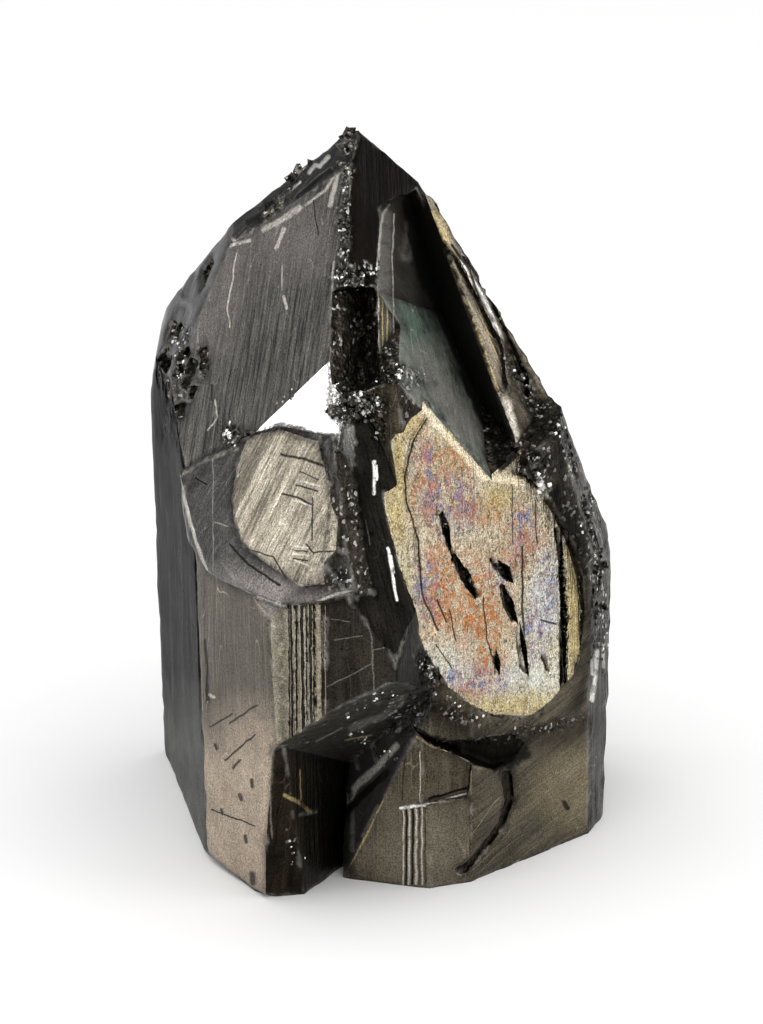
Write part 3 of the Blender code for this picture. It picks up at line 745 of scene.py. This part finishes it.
def make_grains():
    """Small crystal grains: a random painted glint and painted dark reflection for each, and their height.
    """
    tree, start, end = group("grains", {"Vector": "Vector", "Size": "Float"},
                             {"Painted Glint": "Float", "Height": "Float", "Dark": "Float"})
    scale = sums(tree, "DIVIDE", 1.0, start["Size"])
    cells = put(tree, "ShaderNodeTexVoronoi", {"Vector": start["Vector"], "Scale": scale})
    part = put(tree, "ShaderNodeSeparateColor", {"Color": cells.outputs["Color"]}).outputs
    tree.links.new(steps(tree, part[0], 0.88, 1.0), end["Painted Glint"])
    tree.links.new(sums(tree, "SUBTRACT", part[1], cells.outputs["Distance"]), end["Height"])
    tree.links.new(steps(tree, part[2], 0.35, 0.7, 1.0, 0.0), end["Dark"])
    return tree


DRAWING, STROKE, LINES = make_drawing_place(), make_stroke(), make_growth_lines()
SCRATCHES, GRAINS = make_scratches(), make_grains()


def make_wear_and_painted_light():
    """Adds grit, a painted highlight on outer edges partly from rubbing, painted shade in corners and dark
    places, and grains with painted glints and dark reflections, as the mesh tells.
    """
    tree, start, end = group("wear and painted light", {"Color": "Color", "Roughness": "Float", "Height": "Float"},
                             {"Color": "Color", "Roughness": "Float", "Height": "Float"})
    place = put(tree, "ShaderNodeTexCoord").outputs["Object"]
    in_mm = vectors(tree, "MULTIPLY", place, (1 / MM, 1 / MM, 1 / MM))
    small = shared(tree, GRAINS, {"Vector": in_mm, "Size": 0.085})
    grit = clouds(tree, in_mm, 24.0, 2.0, 0.9)
    speck = clouds(tree, in_mm, 6.0, 4.0, 0.7)
    rough_here = attribute(tree, "rough")
    shade = steps(tree, grit, 0.34, 0.66, 0.4, 1.6)
    shade = put(tree, "ShaderNodeCombineColor", {0: shade, 1: shade, 2: shade}).outputs[0]
    colour = blend(tree, 1.0, start["Color"], shade, "MULTIPLY")
    # Dark grains in the rough places: painted dark reflections.
    painted_dark_reflection = times(tree, small["Dark"], rough_here)
    colour = blend(tree, times(tree, painted_dark_reflection, 0.9), colour, tone(20, 19, 18))
    # Painted shade in the inner corners.
    painted_corner_shade = times(tree, attribute(tree, "gap"), steps(tree, speck, 0.3, 0.6, 0.4, 1.0))
    colour = blend(tree, times(tree, painted_corner_shade, 0.7), colour, tone(18, 16, 15))
    # A painted highlight along the outer edges, partly rubbed metal.
    painted_edge_highlight = steps(tree, times(tree, attribute(tree, "edge"), speck), 0.15, 0.5)
    colour = blend(tree, times(tree, painted_edge_highlight, 0.4), colour, tone(170, 166, 158))
    # A few grains painted nearly white: painted glints.
    painted_glint_here = times(tree, small["Painted Glint"], steps(tree, rough_here, 0.25, 0.8))
    colour = blend(tree, painted_glint_here, colour, tone(230, 228, 222))
    # Painted shade in the dark places the mesh keeps.
    painted_shade_here = times(tree, attribute(tree, "mark"), steps(tree, speck, 0.2, 0.42))
    colour = blend(tree, painted_shade_here, colour, tone(15, 14, 12))
    tree.links.new(colour, end["Color"])
    duller = sums(tree, "MULTIPLY_ADD", attribute(tree, "mark"), 0.15, start["Roughness"])
    tree.links.new(duller, end["Roughness"])
    bumps = times(tree, times(tree, small["Height"], rough_here), 3.0)
    bumps = sums(tree, "MULTIPLY_ADD", grit, 0.5, bumps)
    tree.links.new(sums(tree, "ADD", start["Height"], bumps), end["Height"])
    return tree


# Single marks that the photograph shows on a finish: black cracks and steps,
# partly darkened as painted shade; bright, white, soft and cream lines, most of
# them painted highlights and glints on narrow facets, edges, chips and curved
# walls; and gold tarnished lines. Each is a run of pixels and the line's width.
# Real chips beside the column and in the notch, painted white: painted glints.
COLUMN_CHIP_GLINTS = [
    ([(374, 462), (375, 475), (374, 494)], 3.6), ([(377, 466), (377, 480)], 2.4),
    ([(388, 548), (391, 566), (397, 600)], 3), ([(391, 556), (394, 572)], 2.4),
]
NOTCH_CHIP_GLINT = ([(539, 480), (545, 496)], 7)
HOLLOW_STEP = ([(386, 215), (385, 280), (386, 350)], 13)
HOLLOW_GLINTS = [
    ([(389, 205), (383, 215), (380, 240), (377, 285)], 2.4),
    ([(394, 214), (392, 262), (394, 310), (391, 356)], 1.6),
]
MARKS = {
    "slope": {
        "bright": [
            ([(237, 253), (227, 310), (230, 327)], 1.6), ([(282, 263), (282, 290)], 1.4),
            ([(215, 400), (218, 417), (208, 430)], 1.8), ([(284, 228), (276, 248)], 4),
            ([(264, 229), (283, 219), (300, 207)], 6), ([(284, 296), (287, 308)], 3),
            ([(223, 247), (250, 240)], 4), ([(333, 262), (332, 343)], 2.4), ([(330, 205), (338, 170)], 5),
            ([(305, 205), (325, 190), (336, 172)], 3), ([(278, 412), (296, 394)], 1.6),
        ],
        "dark": [
            ([(313, 200), (318, 235)], 1.6), ([(212, 385), (212, 400)], 1.8),
            ([(238, 440), (275, 428)], 2),
        ],
    },
    "bevel": {
        # White painted glints on the chips at the top.
        "white": [([(309, 173), (315, 165), (320, 166), (328, 157)], 4.5), ([(292, 189), (300, 182)], 3)],
        "bright": [([(228, 236), (234, 240)], 4), ([(262, 216), (274, 206)], 4)],
        "dark": [([(250, 222), (262, 215)], 8), ([(298, 196), (330, 170)], 5)],
    },
    "shoulder": {
        "dark": [
            ([(192, 275), (186, 292)], 12), ([(182, 310), (176, 330)], 14), ([(170, 345), (160, 372)], 8),
        ],
    },
    "ridge_back": {
        "bright": [
            ([(398, 200), (386, 206), (381, 232), (377, 270)], 2), ([(393, 280), (394, 350)], 1.6),
            ([(378, 286), (379, 350)], 1.6),
        ],
        "gold": [([(389, 215), (387, 300), (388, 362)], 2), ([(382, 300), (384, 360)], 1.6)],
    },
    "skin": {
        # The bright line along the raised rim is a painted highlight.
        "bright": [
            ([(182, 487), (190, 523), (207, 573), (237, 590), (283, 607), (310, 607), (337, 593),
              (354, 592)], 3.4),
        ],
        "soft": [
            ([(213, 457), (213, 570)], 1.4), ([(215, 522), (228, 526)], 1.6),
            ([(263, 563), (262, 590)], 1.6), ([(290, 582), (292, 606)], 1.4),
            ([(174, 478), (198, 462), (236, 448)], 6),
        ],
        "dark": [([(230, 545), (250, 566), (280, 585)], 2), ([(196, 478), (206, 484)], 1.4)],
    },
    "patch": {
        "bright": [
            ([(228, 537), (237, 552), (257, 562), (277, 572), (290, 582), (307, 588), (330, 584)], 3),
            ([(300, 481), (320, 486)], 2), ([(292, 500), (312, 505)], 1.8),
            ([(295, 546), (308, 548)], 1.8), ([(293, 553), (308, 556)], 1.8),
            ([(295, 560), (308, 566)], 1.8),
        ],
        "dark": [
            ([(282, 454), (307, 460), (325, 466)], 3), ([(282, 494), (297, 497), (313, 505)], 2.4),
            ([(313, 498), (312, 540)], 1.8), ([(327, 460), (337, 490), (343, 520), (345, 533)], 4),
            ([(307, 545), (313, 553), (333, 551), (347, 548)], 1.8), ([(295, 550), (307, 552)], 1.6),
            ([(293, 558), (307, 561)], 1.6), ([(296, 485), (318, 491)], 1.8),
            ([(240, 547), (273, 557), (287, 579)], 1.6), ([(300, 472), (318, 479)], 1.4),
        ],
    },
    "left_side": {
        "soft": [([(205, 600), (207, 850)], 1.6)],
    },
    "left_front": {
        "dark": [
            ([(230, 723), (257, 705)], 1.6), ([(207, 690), (209, 700)], 4),
            ([(210, 727), (232, 714)], 1.4), ([(225, 760), (255, 735)], 1.6),
            ([(212, 810), (255, 825)], 1.4), ([(252, 780), (253, 786)], 3.5),
            ([(240, 795), (241, 800)], 3.5), ([(245, 836), (246, 842)], 3.5),
            ([(222, 810), (223, 814)], 3), ([(252, 874), (253, 884)], 6), ([(216, 745), (217, 749)], 3.5),
            ([(233, 768), (240, 760)], 2.5), ([(206, 640), (208, 700)], 3),
        ],
        "bright": [([(210, 695), (214, 697)], 3)],
    },
    "front": {
        "faint": [([(276, 600), (279, 748)], 18)],
        "dark": [
            ([(291, 600), (292.7, 742)], 1.6), ([(301.7, 600), (303.7, 740)], 2.4),
            ([(310, 600), (311.5, 736)], 2.2), ([(322, 600), (323.5, 732)], 2),
        ],
        "gold": [([(315.5, 600), (317, 736)], 2.2), ([(296.7, 600), (298.5, 740)], 1.8)],
    },
    "front_right": {
        "soft": [
            ([(327, 687), (373, 663)], 1.3), ([(373, 650), (400, 645)], 1.3),
            ([(345, 722), (370, 700), (386, 683), (412, 686)], 2.4), ([(332, 620), (350, 622)], 1.2),
            ([(335, 640), (362, 636)], 1.2), ([(362, 604), (372, 640), (374, 690)], 1.6),
        ],
    },
    "column": {
        "white": COLUMN_CHIP_GLINTS + [([(334, 436), (341, 474), (345, 520), (347, 578)], 2.6)],
        "soft": [([(366, 520), (370, 545)], 1.6)],
    },
    "moat": {
        "white": COLUMN_CHIP_GLINTS + [NOTCH_CHIP_GLINT],
        "bright": [
            ([(430, 700), (452, 716), (472, 726)], 4), ([(500, 722), (520, 731), (552, 716)], 3),
            ([(486, 715), (505, 724)], 3),
        ],
        "gold": [([(421, 663), (427, 677)], 7), ([(432, 684), (448, 702)], 3)],
    },
    "broken": {
        "white": [NOTCH_CHIP_GLINT],
        "bright": [([(437, 700), (452, 714), (470, 724)], 4)],
        "gold": [([(421, 663), (427, 677)], 6)],
    },
    "band": {
        # The white lines on the band are painted glints.
        "white": [([(597, 652), (595, 676), (592, 700)], 5), ([(592, 660), (592, 674)], 3)],
        "bright": [([(603, 645), (604, 668)], 3), ([(576, 545), (584, 600), (583, 660)], 2)],
    },
    # The white step edge is a painted highlight on the ledge's top, and the dark line above it is painted
    # shadow.
    "foot": {
        "white": [([(401, 808), (425, 805)], 3.4), ([(425, 804), (466, 794)], 2)],
        "bright": [
            ([(403, 810), (403, 884)], 1.8), ([(409, 810), (409, 884)], 2.4),
            ([(416, 810), (416, 884)], 2.6), ([(422, 808), (422, 884)], 1.6),
            ([(420, 752), (420, 802)], 1.2),
        ],
        "gold": [
            ([(472, 762), (472, 794)], 3),
            ([(417, 737), (435, 748), (460, 753), (472, 763), (492, 768)], 2.4),
            ([(417, 725), (400, 757), (387, 787), (369, 830), (349, 866)], 3),
        ],
        "dark": [
            ([(430, 799), (467, 788)], 2.4), ([(406, 810), (406, 884)], 1.8),
            ([(412.5, 810), (412.5, 884)], 2),
        ],
        "faint": [
            ([(419, 808), (419, 884)], 1.8), ([(404, 740), (402, 800)], 1.4),
            ([(425, 808), (425, 884)], 1.8), ([(470, 800), (470, 870)], 2),
        ],
    },
    "foot_side": {
        "faint": [([(510, 772), (512, 805)], 14), ([(512, 805), (502, 828), (468, 870)], 6)],
        "dark": [([(564, 803), (567, 808)], 5)],
    },
    "golden": {
        "gold": [
            ([(428, 212), (443, 243), (460, 290), (477, 330), (497, 385), (503, 394)], 2.4),
            ([(436, 216), (444, 238)], 14),
            ([(447, 242), (467, 270), (474, 293), (490, 337), (504, 372)], 2),
        ],
        # The white sliver is a painted highlight on a narrow facet.
        "white": [([(462, 262), (487, 303), (501, 338), (504, 368)], 5)],
        "dark": [([(452, 245), (470, 270), (478, 296), (494, 337)], 2.4), ([(474, 268), (493, 300)], 2)],
        "bright": [([(506, 398), (515, 430), (521, 450)], 8)],
    },
    "cavity_left": {
        "gold": [([(285, 795), (300, 803), (310, 812)], 4), ([(300, 770), (301, 800)], 1.5)],
        "soft": [([(272, 744), (269, 775), (272, 838)], 2), ([(300, 815), (316, 812)], 4)],
    },
    "cavity_right": {
        # A painted highlight along the curved wall, and painted shade below it.
        "bright": [([(348, 800), (356, 786), (374, 770), (396, 746)], 7)],
        "soft": [
            ([(362, 836), (378, 806)], 4), ([(352, 850), (352, 812)], 5), ([(352, 742), (358, 768)], 5),
            ([(372, 738), (376, 760)], 5),
        ],
        "dark": [([(345, 812), (366, 790), (386, 772)], 8)],
    },
    "cavity_roof": {
        "gold": [([(345, 740), (372, 735)], 2)],
        "soft": [([(316, 742), (342, 728)], 2), ([(352, 728), (384, 716), (402, 700)], 8)],
    },
    "hollow_floor": {
        "soft": [
            HOLLOW_STEP, ([(404, 300), (412, 335)], 1.4),
            ([(420, 352), (436, 380), (452, 404), (474, 434)], 22),
        ],
        "bright": HOLLOW_GLINTS,
    },
    "hollow_wall": {
        "soft": [HOLLOW_STEP, ([(412, 224), (407, 256)], 13), ([(520, 444), (532, 458)], 14)],
        "bright": HOLLOW_GLINTS,
    },
    "scar": {
        "dark": [
            ([(428, 417), (412, 443), (405, 477), (407, 503), (418, 540), (422, 593), (438, 630)], 2.2),
            ([(522, 547), (523, 613), (526, 670)], 2.4), ([(483, 597), (487, 640), (495, 663)], 1.6),
            ([(410, 620), (428, 665), (456, 700), (490, 716), (530, 717), (570, 690)], 3),
            ([(437, 600), (446, 622)], 2), ([(449, 610), (456, 640)], 1.6),
            ([(535, 500), (537, 545)], 1.4), ([(512, 470), (513, 545)], 1.2),
            ([(560, 620), (561, 700)], 3), ([(541, 620), (556, 624)], 2), ([(436, 645), (452, 668)], 1.6),
        ],
        # The cream line is a painted highlight along the scar's lip.
        "cream": [([(422, 405), (436, 425), (463, 453), (483, 477), (523, 482)], 7)],
        "gold": [([(568, 537), (578, 600), (575, 673)], 7)],
    },
}

# Each kind of mark: its colour, how strongly it covers, and its height in units of
# the finishes' relief. A finish with very many marks keeps them in colour only.
# The bright, white, soft and cream kinds are mostly painted highlights and glints; the dark kind is partly
# painted shade.
MARK_KINDS = {
    "dark": ((18, 16, 14), 0.9, -2.5),
    "faint": ((50, 45, 37), 0.6, -1.2),
    "bright": ((222, 217, 206), 0.6, 0.6),
    "soft": ((138, 134, 127), 0.5, 0.4),
    "gold": ((196, 176, 124), 0.6, 0.5),
    "white": ((250, 248, 242), 0.95, 0.8),
    "cream": ((242, 226, 196), 0.8, 0.8),
}
MOST_CUT = 24
WEAR_AND_PAINTED_LIGHT = make_wear_and_painted_light()
HEIGHT_UNIT = 0.012 * MM


def face_place(tree, azimuth, tilt, corner, along):
    """Millimetres on a face: across its lines, along its lines, and outward."""
    out = normal(azimuth, tilt)
    up = (on_face(along[0], azimuth, tilt, corner) - on_face(along[1], azimuth, tilt, corner)).normalized()
    turn = Matrix((up.cross(out), up, out)).transposed().to_euler()
    place = put(tree, "ShaderNodeTexCoord").outputs["Object"]
    joins = {"Vector": place, "Location": Vector(corner) * MM, "Rotation": turn, "Scale": (MM, MM, MM)}
    return put(tree, "ShaderNodeMapping", joins, vector_type="TEXTURE").outputs[0]


def draw_marks(tree, finish, colour, height):
    """Lays a finish's single marks over its colour, and cuts or raises them a little."""
    place = shared(tree, DRAWING, {})[0]
    # A patchy fade for all marks but the dark ones, most of which are painted highlights.
    worn_and_lit = steps(tree, clouds(tree, place, 0.09, 2.0), 0.3, 0.46, 0.25, 1.0)
    lengths = [len(path) - 1 for paths in MARKS.get(finish, {}).values() for path, width in paths]
    for kind, paths in MARKS.get(finish, {}).items():
        value = 0.0
        for path, width in paths:
            for first, second in zip(path[:-1], path[1:]):
                joins = {"Vector": place, "Start": (*first, 0.0), "End": (*second, 0.0), "Width": width}
                value = sums(tree, "MAXIMUM", shared(tree, STROKE, joins)[0], value)
        if kind != "dark":
            value = times(tree, value, worn_and_lit)
        shown, strength, rise = MARK_KINDS[kind]
        colour = blend(tree, times(tree, value, strength), colour, tone(*shown))
        if sum(lengths) <= MOST_CUT:
            height = sums(tree, "MULTIPLY_ADD", value, rise, height)
    return colour, height


def metal(finish, along, dark, light, spacing, contrast, gloss, relief=1.0, scratched=0.4, tint=None,
          cloud=0.4, metallic=1.0, rim=1.0):
    """One face's finish, with colours dark and light between which its lines vary."""
    made = bpy.data.materials.new(finish + "_metal")
    made.use_nodes = True
    tree = made.node_tree
    shader = tree.nodes["Principled BSDF"]
    shader.inputs["Metallic"].default_value = metallic
    shader.inputs["Specular Tint"].default_value = (rim, rim, rim, 1.0)
    place = face_place(tree, *PLACES[finish], along)
    lined = shared(tree, LINES, {"Vector": place, "Spacing": spacing, "Seed": len(finish) * 1.7})[0]
    cloudy = steps(tree, clouds(tree, place, 0.9, 6.0, 0.66), 0.32, 0.68)
    mixed = sums(tree, "MULTIPLY_ADD", cloudy, cloud, times(tree, lined, 1.0 - cloud))
    mixed = steps(tree, mixed, 0.5 - 0.5 / contrast, 0.5 + 0.5 / contrast)
    colour = blend(tree, mixed, tone(*dark), tone(*light))
    if tint:
        colour = tint(tree, place, lined, cloudy, colour)
    scratch = times(tree, shared(tree, SCRATCHES, {"Vector": place})[0], scratched)
    colour = blend(tree, scratch, colour, tone(*[min(255, channel * 1.5 + 30) for channel in light]))
    high = times(tree, lined, relief)
    high = sums(tree, "MULTIPLY_ADD", scratch, -0.8, high)
    colour, high = draw_marks(tree, finish, colour, high)
    dullness = steps(tree, mixed, 0.0, 1.0, gloss + 0.07, gloss - 0.05)
    worn_and_lit = shared(tree, WEAR_AND_PAINTED_LIGHT, {"Color": colour, "Roughness": dullness, "Height": high})
    tree.links.new(worn_and_lit["Color"], shader.inputs["Base Color"])
    tree.links.new(worn_and_lit["Roughness"], shader.inputs["Roughness"])
    bump = put(tree, "ShaderNodeBump", {"Height": worn_and_lit["Height"], "Strength": 1.0, "Distance": HEIGHT_UNIT})
    tree.links.new(bump.outputs["Normal"], shader.inputs["Normal"])
    return made


def pale_tint(colour):
    """A paler colour where the mesh says so; on the lower left face and the grey slivers it is painted
    reflection and highlight.
    """
    def tinted(tree, place, lined, cloudy, before):
        amount = times(tree, attribute(tree, "pale"), steps(tree, cloudy, 0.0, 0.8, 0.55, 1.0))
        return blend(tree, amount, before, tone(*colour))
    return tinted


def hollow_tint(tree, place, lined, cloudy, before):
    """Green copper tarnish in the hollow."""
    return blend(tree, times(tree, attribute(tree, "blue"), cloudy), before, tone(84, 118, 100))


def scar_tint(tree, place, lined, cloudy, before):
    """Thin films on the oval scar: gold, orange, blue and purple, in small mottles."""
    swirl = vectors(tree, "MULTIPLY", place, (1.0, 0.75, 1.0))
    mottle = clouds(tree, swirl, 2.8, 6.0, 0.72, 1.4)
    specks = clouds(tree, swirl, 9.0, 3.0, 0.75, 1.6)
    other = clouds(tree, vectors(tree, "ADD", swirl, (9.0, 4.0, 0.0)), 3.4, 5.0, 0.7, 1.0)
    colour = blend(tree, steps(tree, specks, 0.45, 0.66), before, tone(232, 220, 194))
    for film, shown, amount, low, high, value in (
            ("pale", (212, 216, 206), 0.75, 0.4, 0.48, mottle),
            ("gold", (186, 166, 106), 0.7, 0.38, 0.46, other),
            ("orange", (190, 116, 58), 0.85, 0.46, 0.54, mottle),
            ("blue", (112, 122, 160), 0.85, 0.5, 0.58, other),
            ("blue", (146, 104, 128), 0.65, 0.52, 0.57, mottle),
            ("blue", (176, 198, 226), 0.8, 0.56, 0.63, specks),
            ("orange", (150, 84, 44), 0.8, 0.55, 0.62, specks)):
        here = times(tree, attribute(tree, film), steps(tree, value, low, high))
        colour = blend(tree, times(tree, here, amount), colour, tone(*shown))
    colour = blend(tree, steps(tree, specks, 0.36, 0.47, 0.8, 0.0), colour, tone(78, 62, 44))
    return blend(tree, steps(tree, lined, 0.65, 1.0, 0.0, 0.4), colour, tone(110, 92, 68))


PLACES = {name: (azimuth, tilt, corner) for name, azimuth, tilt, corner, height in reversed(FACES)}
PLACES["broken"] = (0, 0, RIDGE_FOOT)
PLACES["skin"] = PLACES["patch"] = PLACES["bright"]
PLACES["rear"] = (180, 0, BACK_MIDDLE)
UPRIGHT = ((300, 620), (302, 740))

# Each row: the finish; two pixels along its lines; its dark and its light colour;
# its lines' spacing in millimetres, contrast, roughness, height and scratches; its
# tint; its share of cloud; how metallic it is; and its brightness at the rim.
# The colours are partly painted light and shade: faces that mirror a lamp or the table get paler colours,
# and faces that mirror dark surroundings or lie in the cavity's shade get darker ones.
FINISHES = [
    ("broken", UPRIGHT, (34, 31, 26), (76, 70, 60), 0.1, 1.2, 0.34, 1.4),
    ("slope", ((322, 200), (297, 360)), (40, 40, 39), (106, 103, 98), 0.028, 1.5, 0.36, 1.6, 0.4,
     pale_tint((112, 108, 104)), 0.15),
    ("shoulder", ((215, 260), (170, 380)), (70, 70, 71), (100, 100, 100), 0.12, 0.8, 0.3, 0.4, 0.3),
    ("bevel", ((320, 165), (240, 235)), (40, 40, 39), (84, 83, 82), 0.1, 1.0, 0.3, 0.6),
    ("ridge_back", ((365, 140), (370, 260)), (10, 8, 7), (26, 21, 18), 0.1, 1.0, 0.35, 1.5, 0.2,
     pale_tint((96, 92, 86))),
    # The bright face is painted nearly white: a painted highlight of the left light.
    ("bright", UPRIGHT, (240, 238, 236), (255, 254, 252), 0.2, 0.6, 0.2, 0.1, 0.1),
    ("skin", ((330, 440), (240, 590)), (46, 45, 44), (74, 72, 70), 0.06, 1.1, 0.33, 1.0, 0.3,
     pale_tint((120, 116, 112))),
    ("patch", ((290, 440), (250, 520)), (100, 94, 83), (184, 175, 158), 0.075, 1.5, 0.32, 2.2, 0.4, None,
     0.3),
    ("left_side", UPRIGHT, (33, 33, 35), (42, 42, 44), 0.2, 0.9, 0.28, 0.4, 0.2,
     pale_tint((150, 150, 146)), 0.4, 1.0, 0.3),
    ("left_front", UPRIGHT, (74, 69, 61), (104, 97, 87), 0.09, 1.1, 0.34, 1.0, 0.7,
     pale_tint((182, 165, 146))),
    ("front", UPRIGHT, (164, 155, 135), (208, 200, 180), 0.1, 1.0, 0.32, 1.0, 0.3),
    ("front_right", UPRIGHT, (34, 31, 27), (58, 54, 48), 0.08, 1.2, 0.28, 1.0, 0.3),
    ("column", UPRIGHT, (14, 13, 12), (36, 33, 30), 0.1, 1.1, 0.28, 1.0, 0.2, pale_tint((112, 110, 106))),
    ("moat", UPRIGHT, (20, 18, 16), (66, 61, 54), 0.09, 1.3, 0.3, 1.6, 0.3),
    ("foot", UPRIGHT, (56, 51, 42), (90, 83, 69), 0.06, 1.3, 0.32, 1.2, 0.4, pale_tint((116, 109, 94))),
    ("foot_side", ((500, 850), (600, 770)), (52, 48, 40), (100, 93, 78), 0.06, 1.2, 0.34, 1.2, 0.5,
     pale_tint((120, 110, 88))),
    ("band", UPRIGHT, (30, 28, 25), (92, 88, 82), 0.07, 1.4, 0.34, 2.0, 0.3),
    ("scar", ((480, 500), (487, 640)), (124, 115, 95), (206, 195, 168), 0.06, 1.3, 0.26, 1.4, 0.3,
     scar_tint),
    ("hollow_floor", ((405, 260), (440, 420)), (44, 48, 44), (134, 138, 129), 0.1, 1.4, 0.36, 1.6, 0.4,
     hollow_tint, 0.85, 0.3),
    ("hollow_wall", UPRIGHT, (36, 34, 31), (70, 66, 60), 0.1, 1.0, 0.4, 1.0, 0.2, None, 0.4, 0.4),
    ("golden", ((430, 215), (505, 345)), (104, 96, 84), (170, 160, 142), 0.08, 1.2, 0.3, 1.2, 0.3),
    ("cavity_left", UPRIGHT, (16, 14, 11), (50, 44, 34), 0.1, 1.4, 0.34, 1.6, 0.3, None, 0.5),
    ("cavity_right", ((380, 780), (345, 860)), (36, 35, 36), (66, 64, 62), 0.2, 1.0, 0.3, 0.8, 0.3, None,
     0.6, 0.2),
    ("cavity_roof", ((345, 740), (372, 735)), (20, 18, 15), (58, 52, 42), 0.1, 1.3, 0.34, 1.4, 0.3, None,
     0.6, 0.5),
    ("rear", UPRIGHT, (48, 46, 42), (104, 100, 93), 0.08, 1.3, 0.36, 1.6, 0.4),
]
finishes = {row[0]: metal(*row) for row in FINISHES}
ROUGH_ENOUGH = 0.55
for name in finish_names:
    body.data.materials.append(finishes[name])
body.data.polygons.foreach_set("material_index", finish_of)
work_on(body)
bpy.ops.object.shade_smooth_by_angle(angle=math.radians(32))
body.data.polygons.foreach_set("use_smooth", rough[corners].mean(1) < ROUGH_ENOUGH)
body.data.update()
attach(body, "root")
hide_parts(CRYSTAL)

# Loose crystal grains: small sharp lumps of the same metal that grew along the
# ridge, beside the scar and in the broken places, set into the surface there.
# Each run is its pixels, its spread, its number of grains and their radii.
GRAIN_SUBDIVISIONS = 1
GRAIN_SINK = 0.35
GRAIN_STRETCH = (0.6, 1.3)
FULL_TURN = 6.28
GRAIN_ZONES = {
    "ridge": [
        ([(343, 160), (346, 200), (342, 240), (346, 282)], 5, 60, 0.03, 0.06),
        ([(336, 272), (356, 278), (376, 270)], 9, 40, 0.03, 0.08),
        ([(338, 395), (362, 400), (380, 408), (352, 414)], 12, 70, 0.03, 0.09),
        ([(380, 378), (400, 372), (424, 380)], 8, 26, 0.03, 0.07),
    ],
    "left": [
        ([(176, 330), (184, 384)], 8, 14, 0.03, 0.06), ([(228, 424), (236, 446)], 6, 26, 0.03, 0.08),
        ([(276, 404), (296, 392)], 4, 12, 0.03, 0.06), ([(328, 590), (344, 574)], 6, 16, 0.03, 0.07),
    ],
    "right": [
        ([(536, 472), (548, 492)], 7, 20, 0.04, 0.1),
        ([(508, 350), (536, 400), (566, 440)], 7, 34, 0.03, 0.07),
        ([(578, 500), (596, 560), (604, 620), (600, 690)], 7, 34, 0.03, 0.06),
        ([(420, 662), (446, 700), (490, 722), (548, 728)], 6, 34, 0.03, 0.06),
    ],
    "cavity": [
        ([(350, 735), (372, 745), (392, 760)], 8, 24, 0.03, 0.08),
        ([(345, 722), (380, 690), (398, 700)], 6, 24, 0.03, 0.07),
        ([(286, 830), (300, 870)], 8, 12, 0.03, 0.06),
    ],
}
grain_metal = bpy.data.materials.new("grain_metal")
grain_metal.use_nodes = True
grain_tree = grain_metal.node_tree
grain_shader = grain_tree.nodes["Principled BSDF"]
grain_shader.inputs["Metallic"].default_value = 1.0
grain_shader.inputs["Roughness"].default_value = 0.34
# Each grain's random value sets its tone, and the highest are painted nearly white: painted glints.
tone_and_painted_glint = attribute(grain_tree, "tone_and_painted_glint")
grain_colour = blend(grain_tree, steps(grain_tree, tone_and_painted_glint, 0.0, 0.8), tone(30, 28, 26), tone(140, 136, 128))
grain_colour = blend(grain_tree, steps(grain_tree, tone_and_painted_glint, 0.68, 0.8), grain_colour, tone(250, 248, 242))
grain_tree.links.new(grain_colour, grain_shader.inputs["Base Color"])

chance = random.Random(31)
ground = BVHTree.FromObject(body, bpy.context.evaluated_depsgraph_get())
for zone, runs in GRAIN_ZONES.items():
    grains = []
    for path, spread, count, small_size, large_size in runs:
        for _ in range(count):
            leg, along = chance.randrange(len(path) - 1), chance.random()
            pixel = [path[leg][i] + (path[leg + 1][i] - path[leg][i]) * along + chance.gauss(0, spread / 2)
                     for i in (0, 1)]
            spot, out = ground.ray_cast(EYE * MM, sight_line(pixel))[:2]
            if spot is None:
                continue
            radius = chance.uniform(small_size, large_size) * MM
            sunk = spot - out * radius * GRAIN_SINK
            bpy.ops.mesh.primitive_ico_sphere_add(
                subdivisions=GRAIN_SUBDIVISIONS, radius=radius, location=sunk)
            grain = bpy.context.object
            grain.scale = [chance.uniform(*GRAIN_STRETCH) for _ in range(3)]
            grain.rotation_euler = [chance.uniform(0, FULL_TURN) for _ in range(3)]
            tone_and_glint_layer = grain.data.attributes.new("tone_and_painted_glint", "FLOAT", "POINT")
            tone_and_glint_layer.data.foreach_set("value", [chance.random()] * len(grain.data.vertices))
            grains.append(grain)
    bpy.ops.object.select_all(action="DESELECT")
    for grain in grains:
        grain.select_set(True)
    bpy.context.view_layer.objects.active = grains[0]
    bpy.ops.object.join()
    bpy.ops.object.transform_apply(location=True, rotation=True, scale=True)
    cluster = bpy.context.object
    cluster.name = zone + "_grains"
    cluster.data.materials.clear()
    cluster.data.materials.append(grain_metal)
    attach(cluster, "root")
    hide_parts(CRYSTAL)
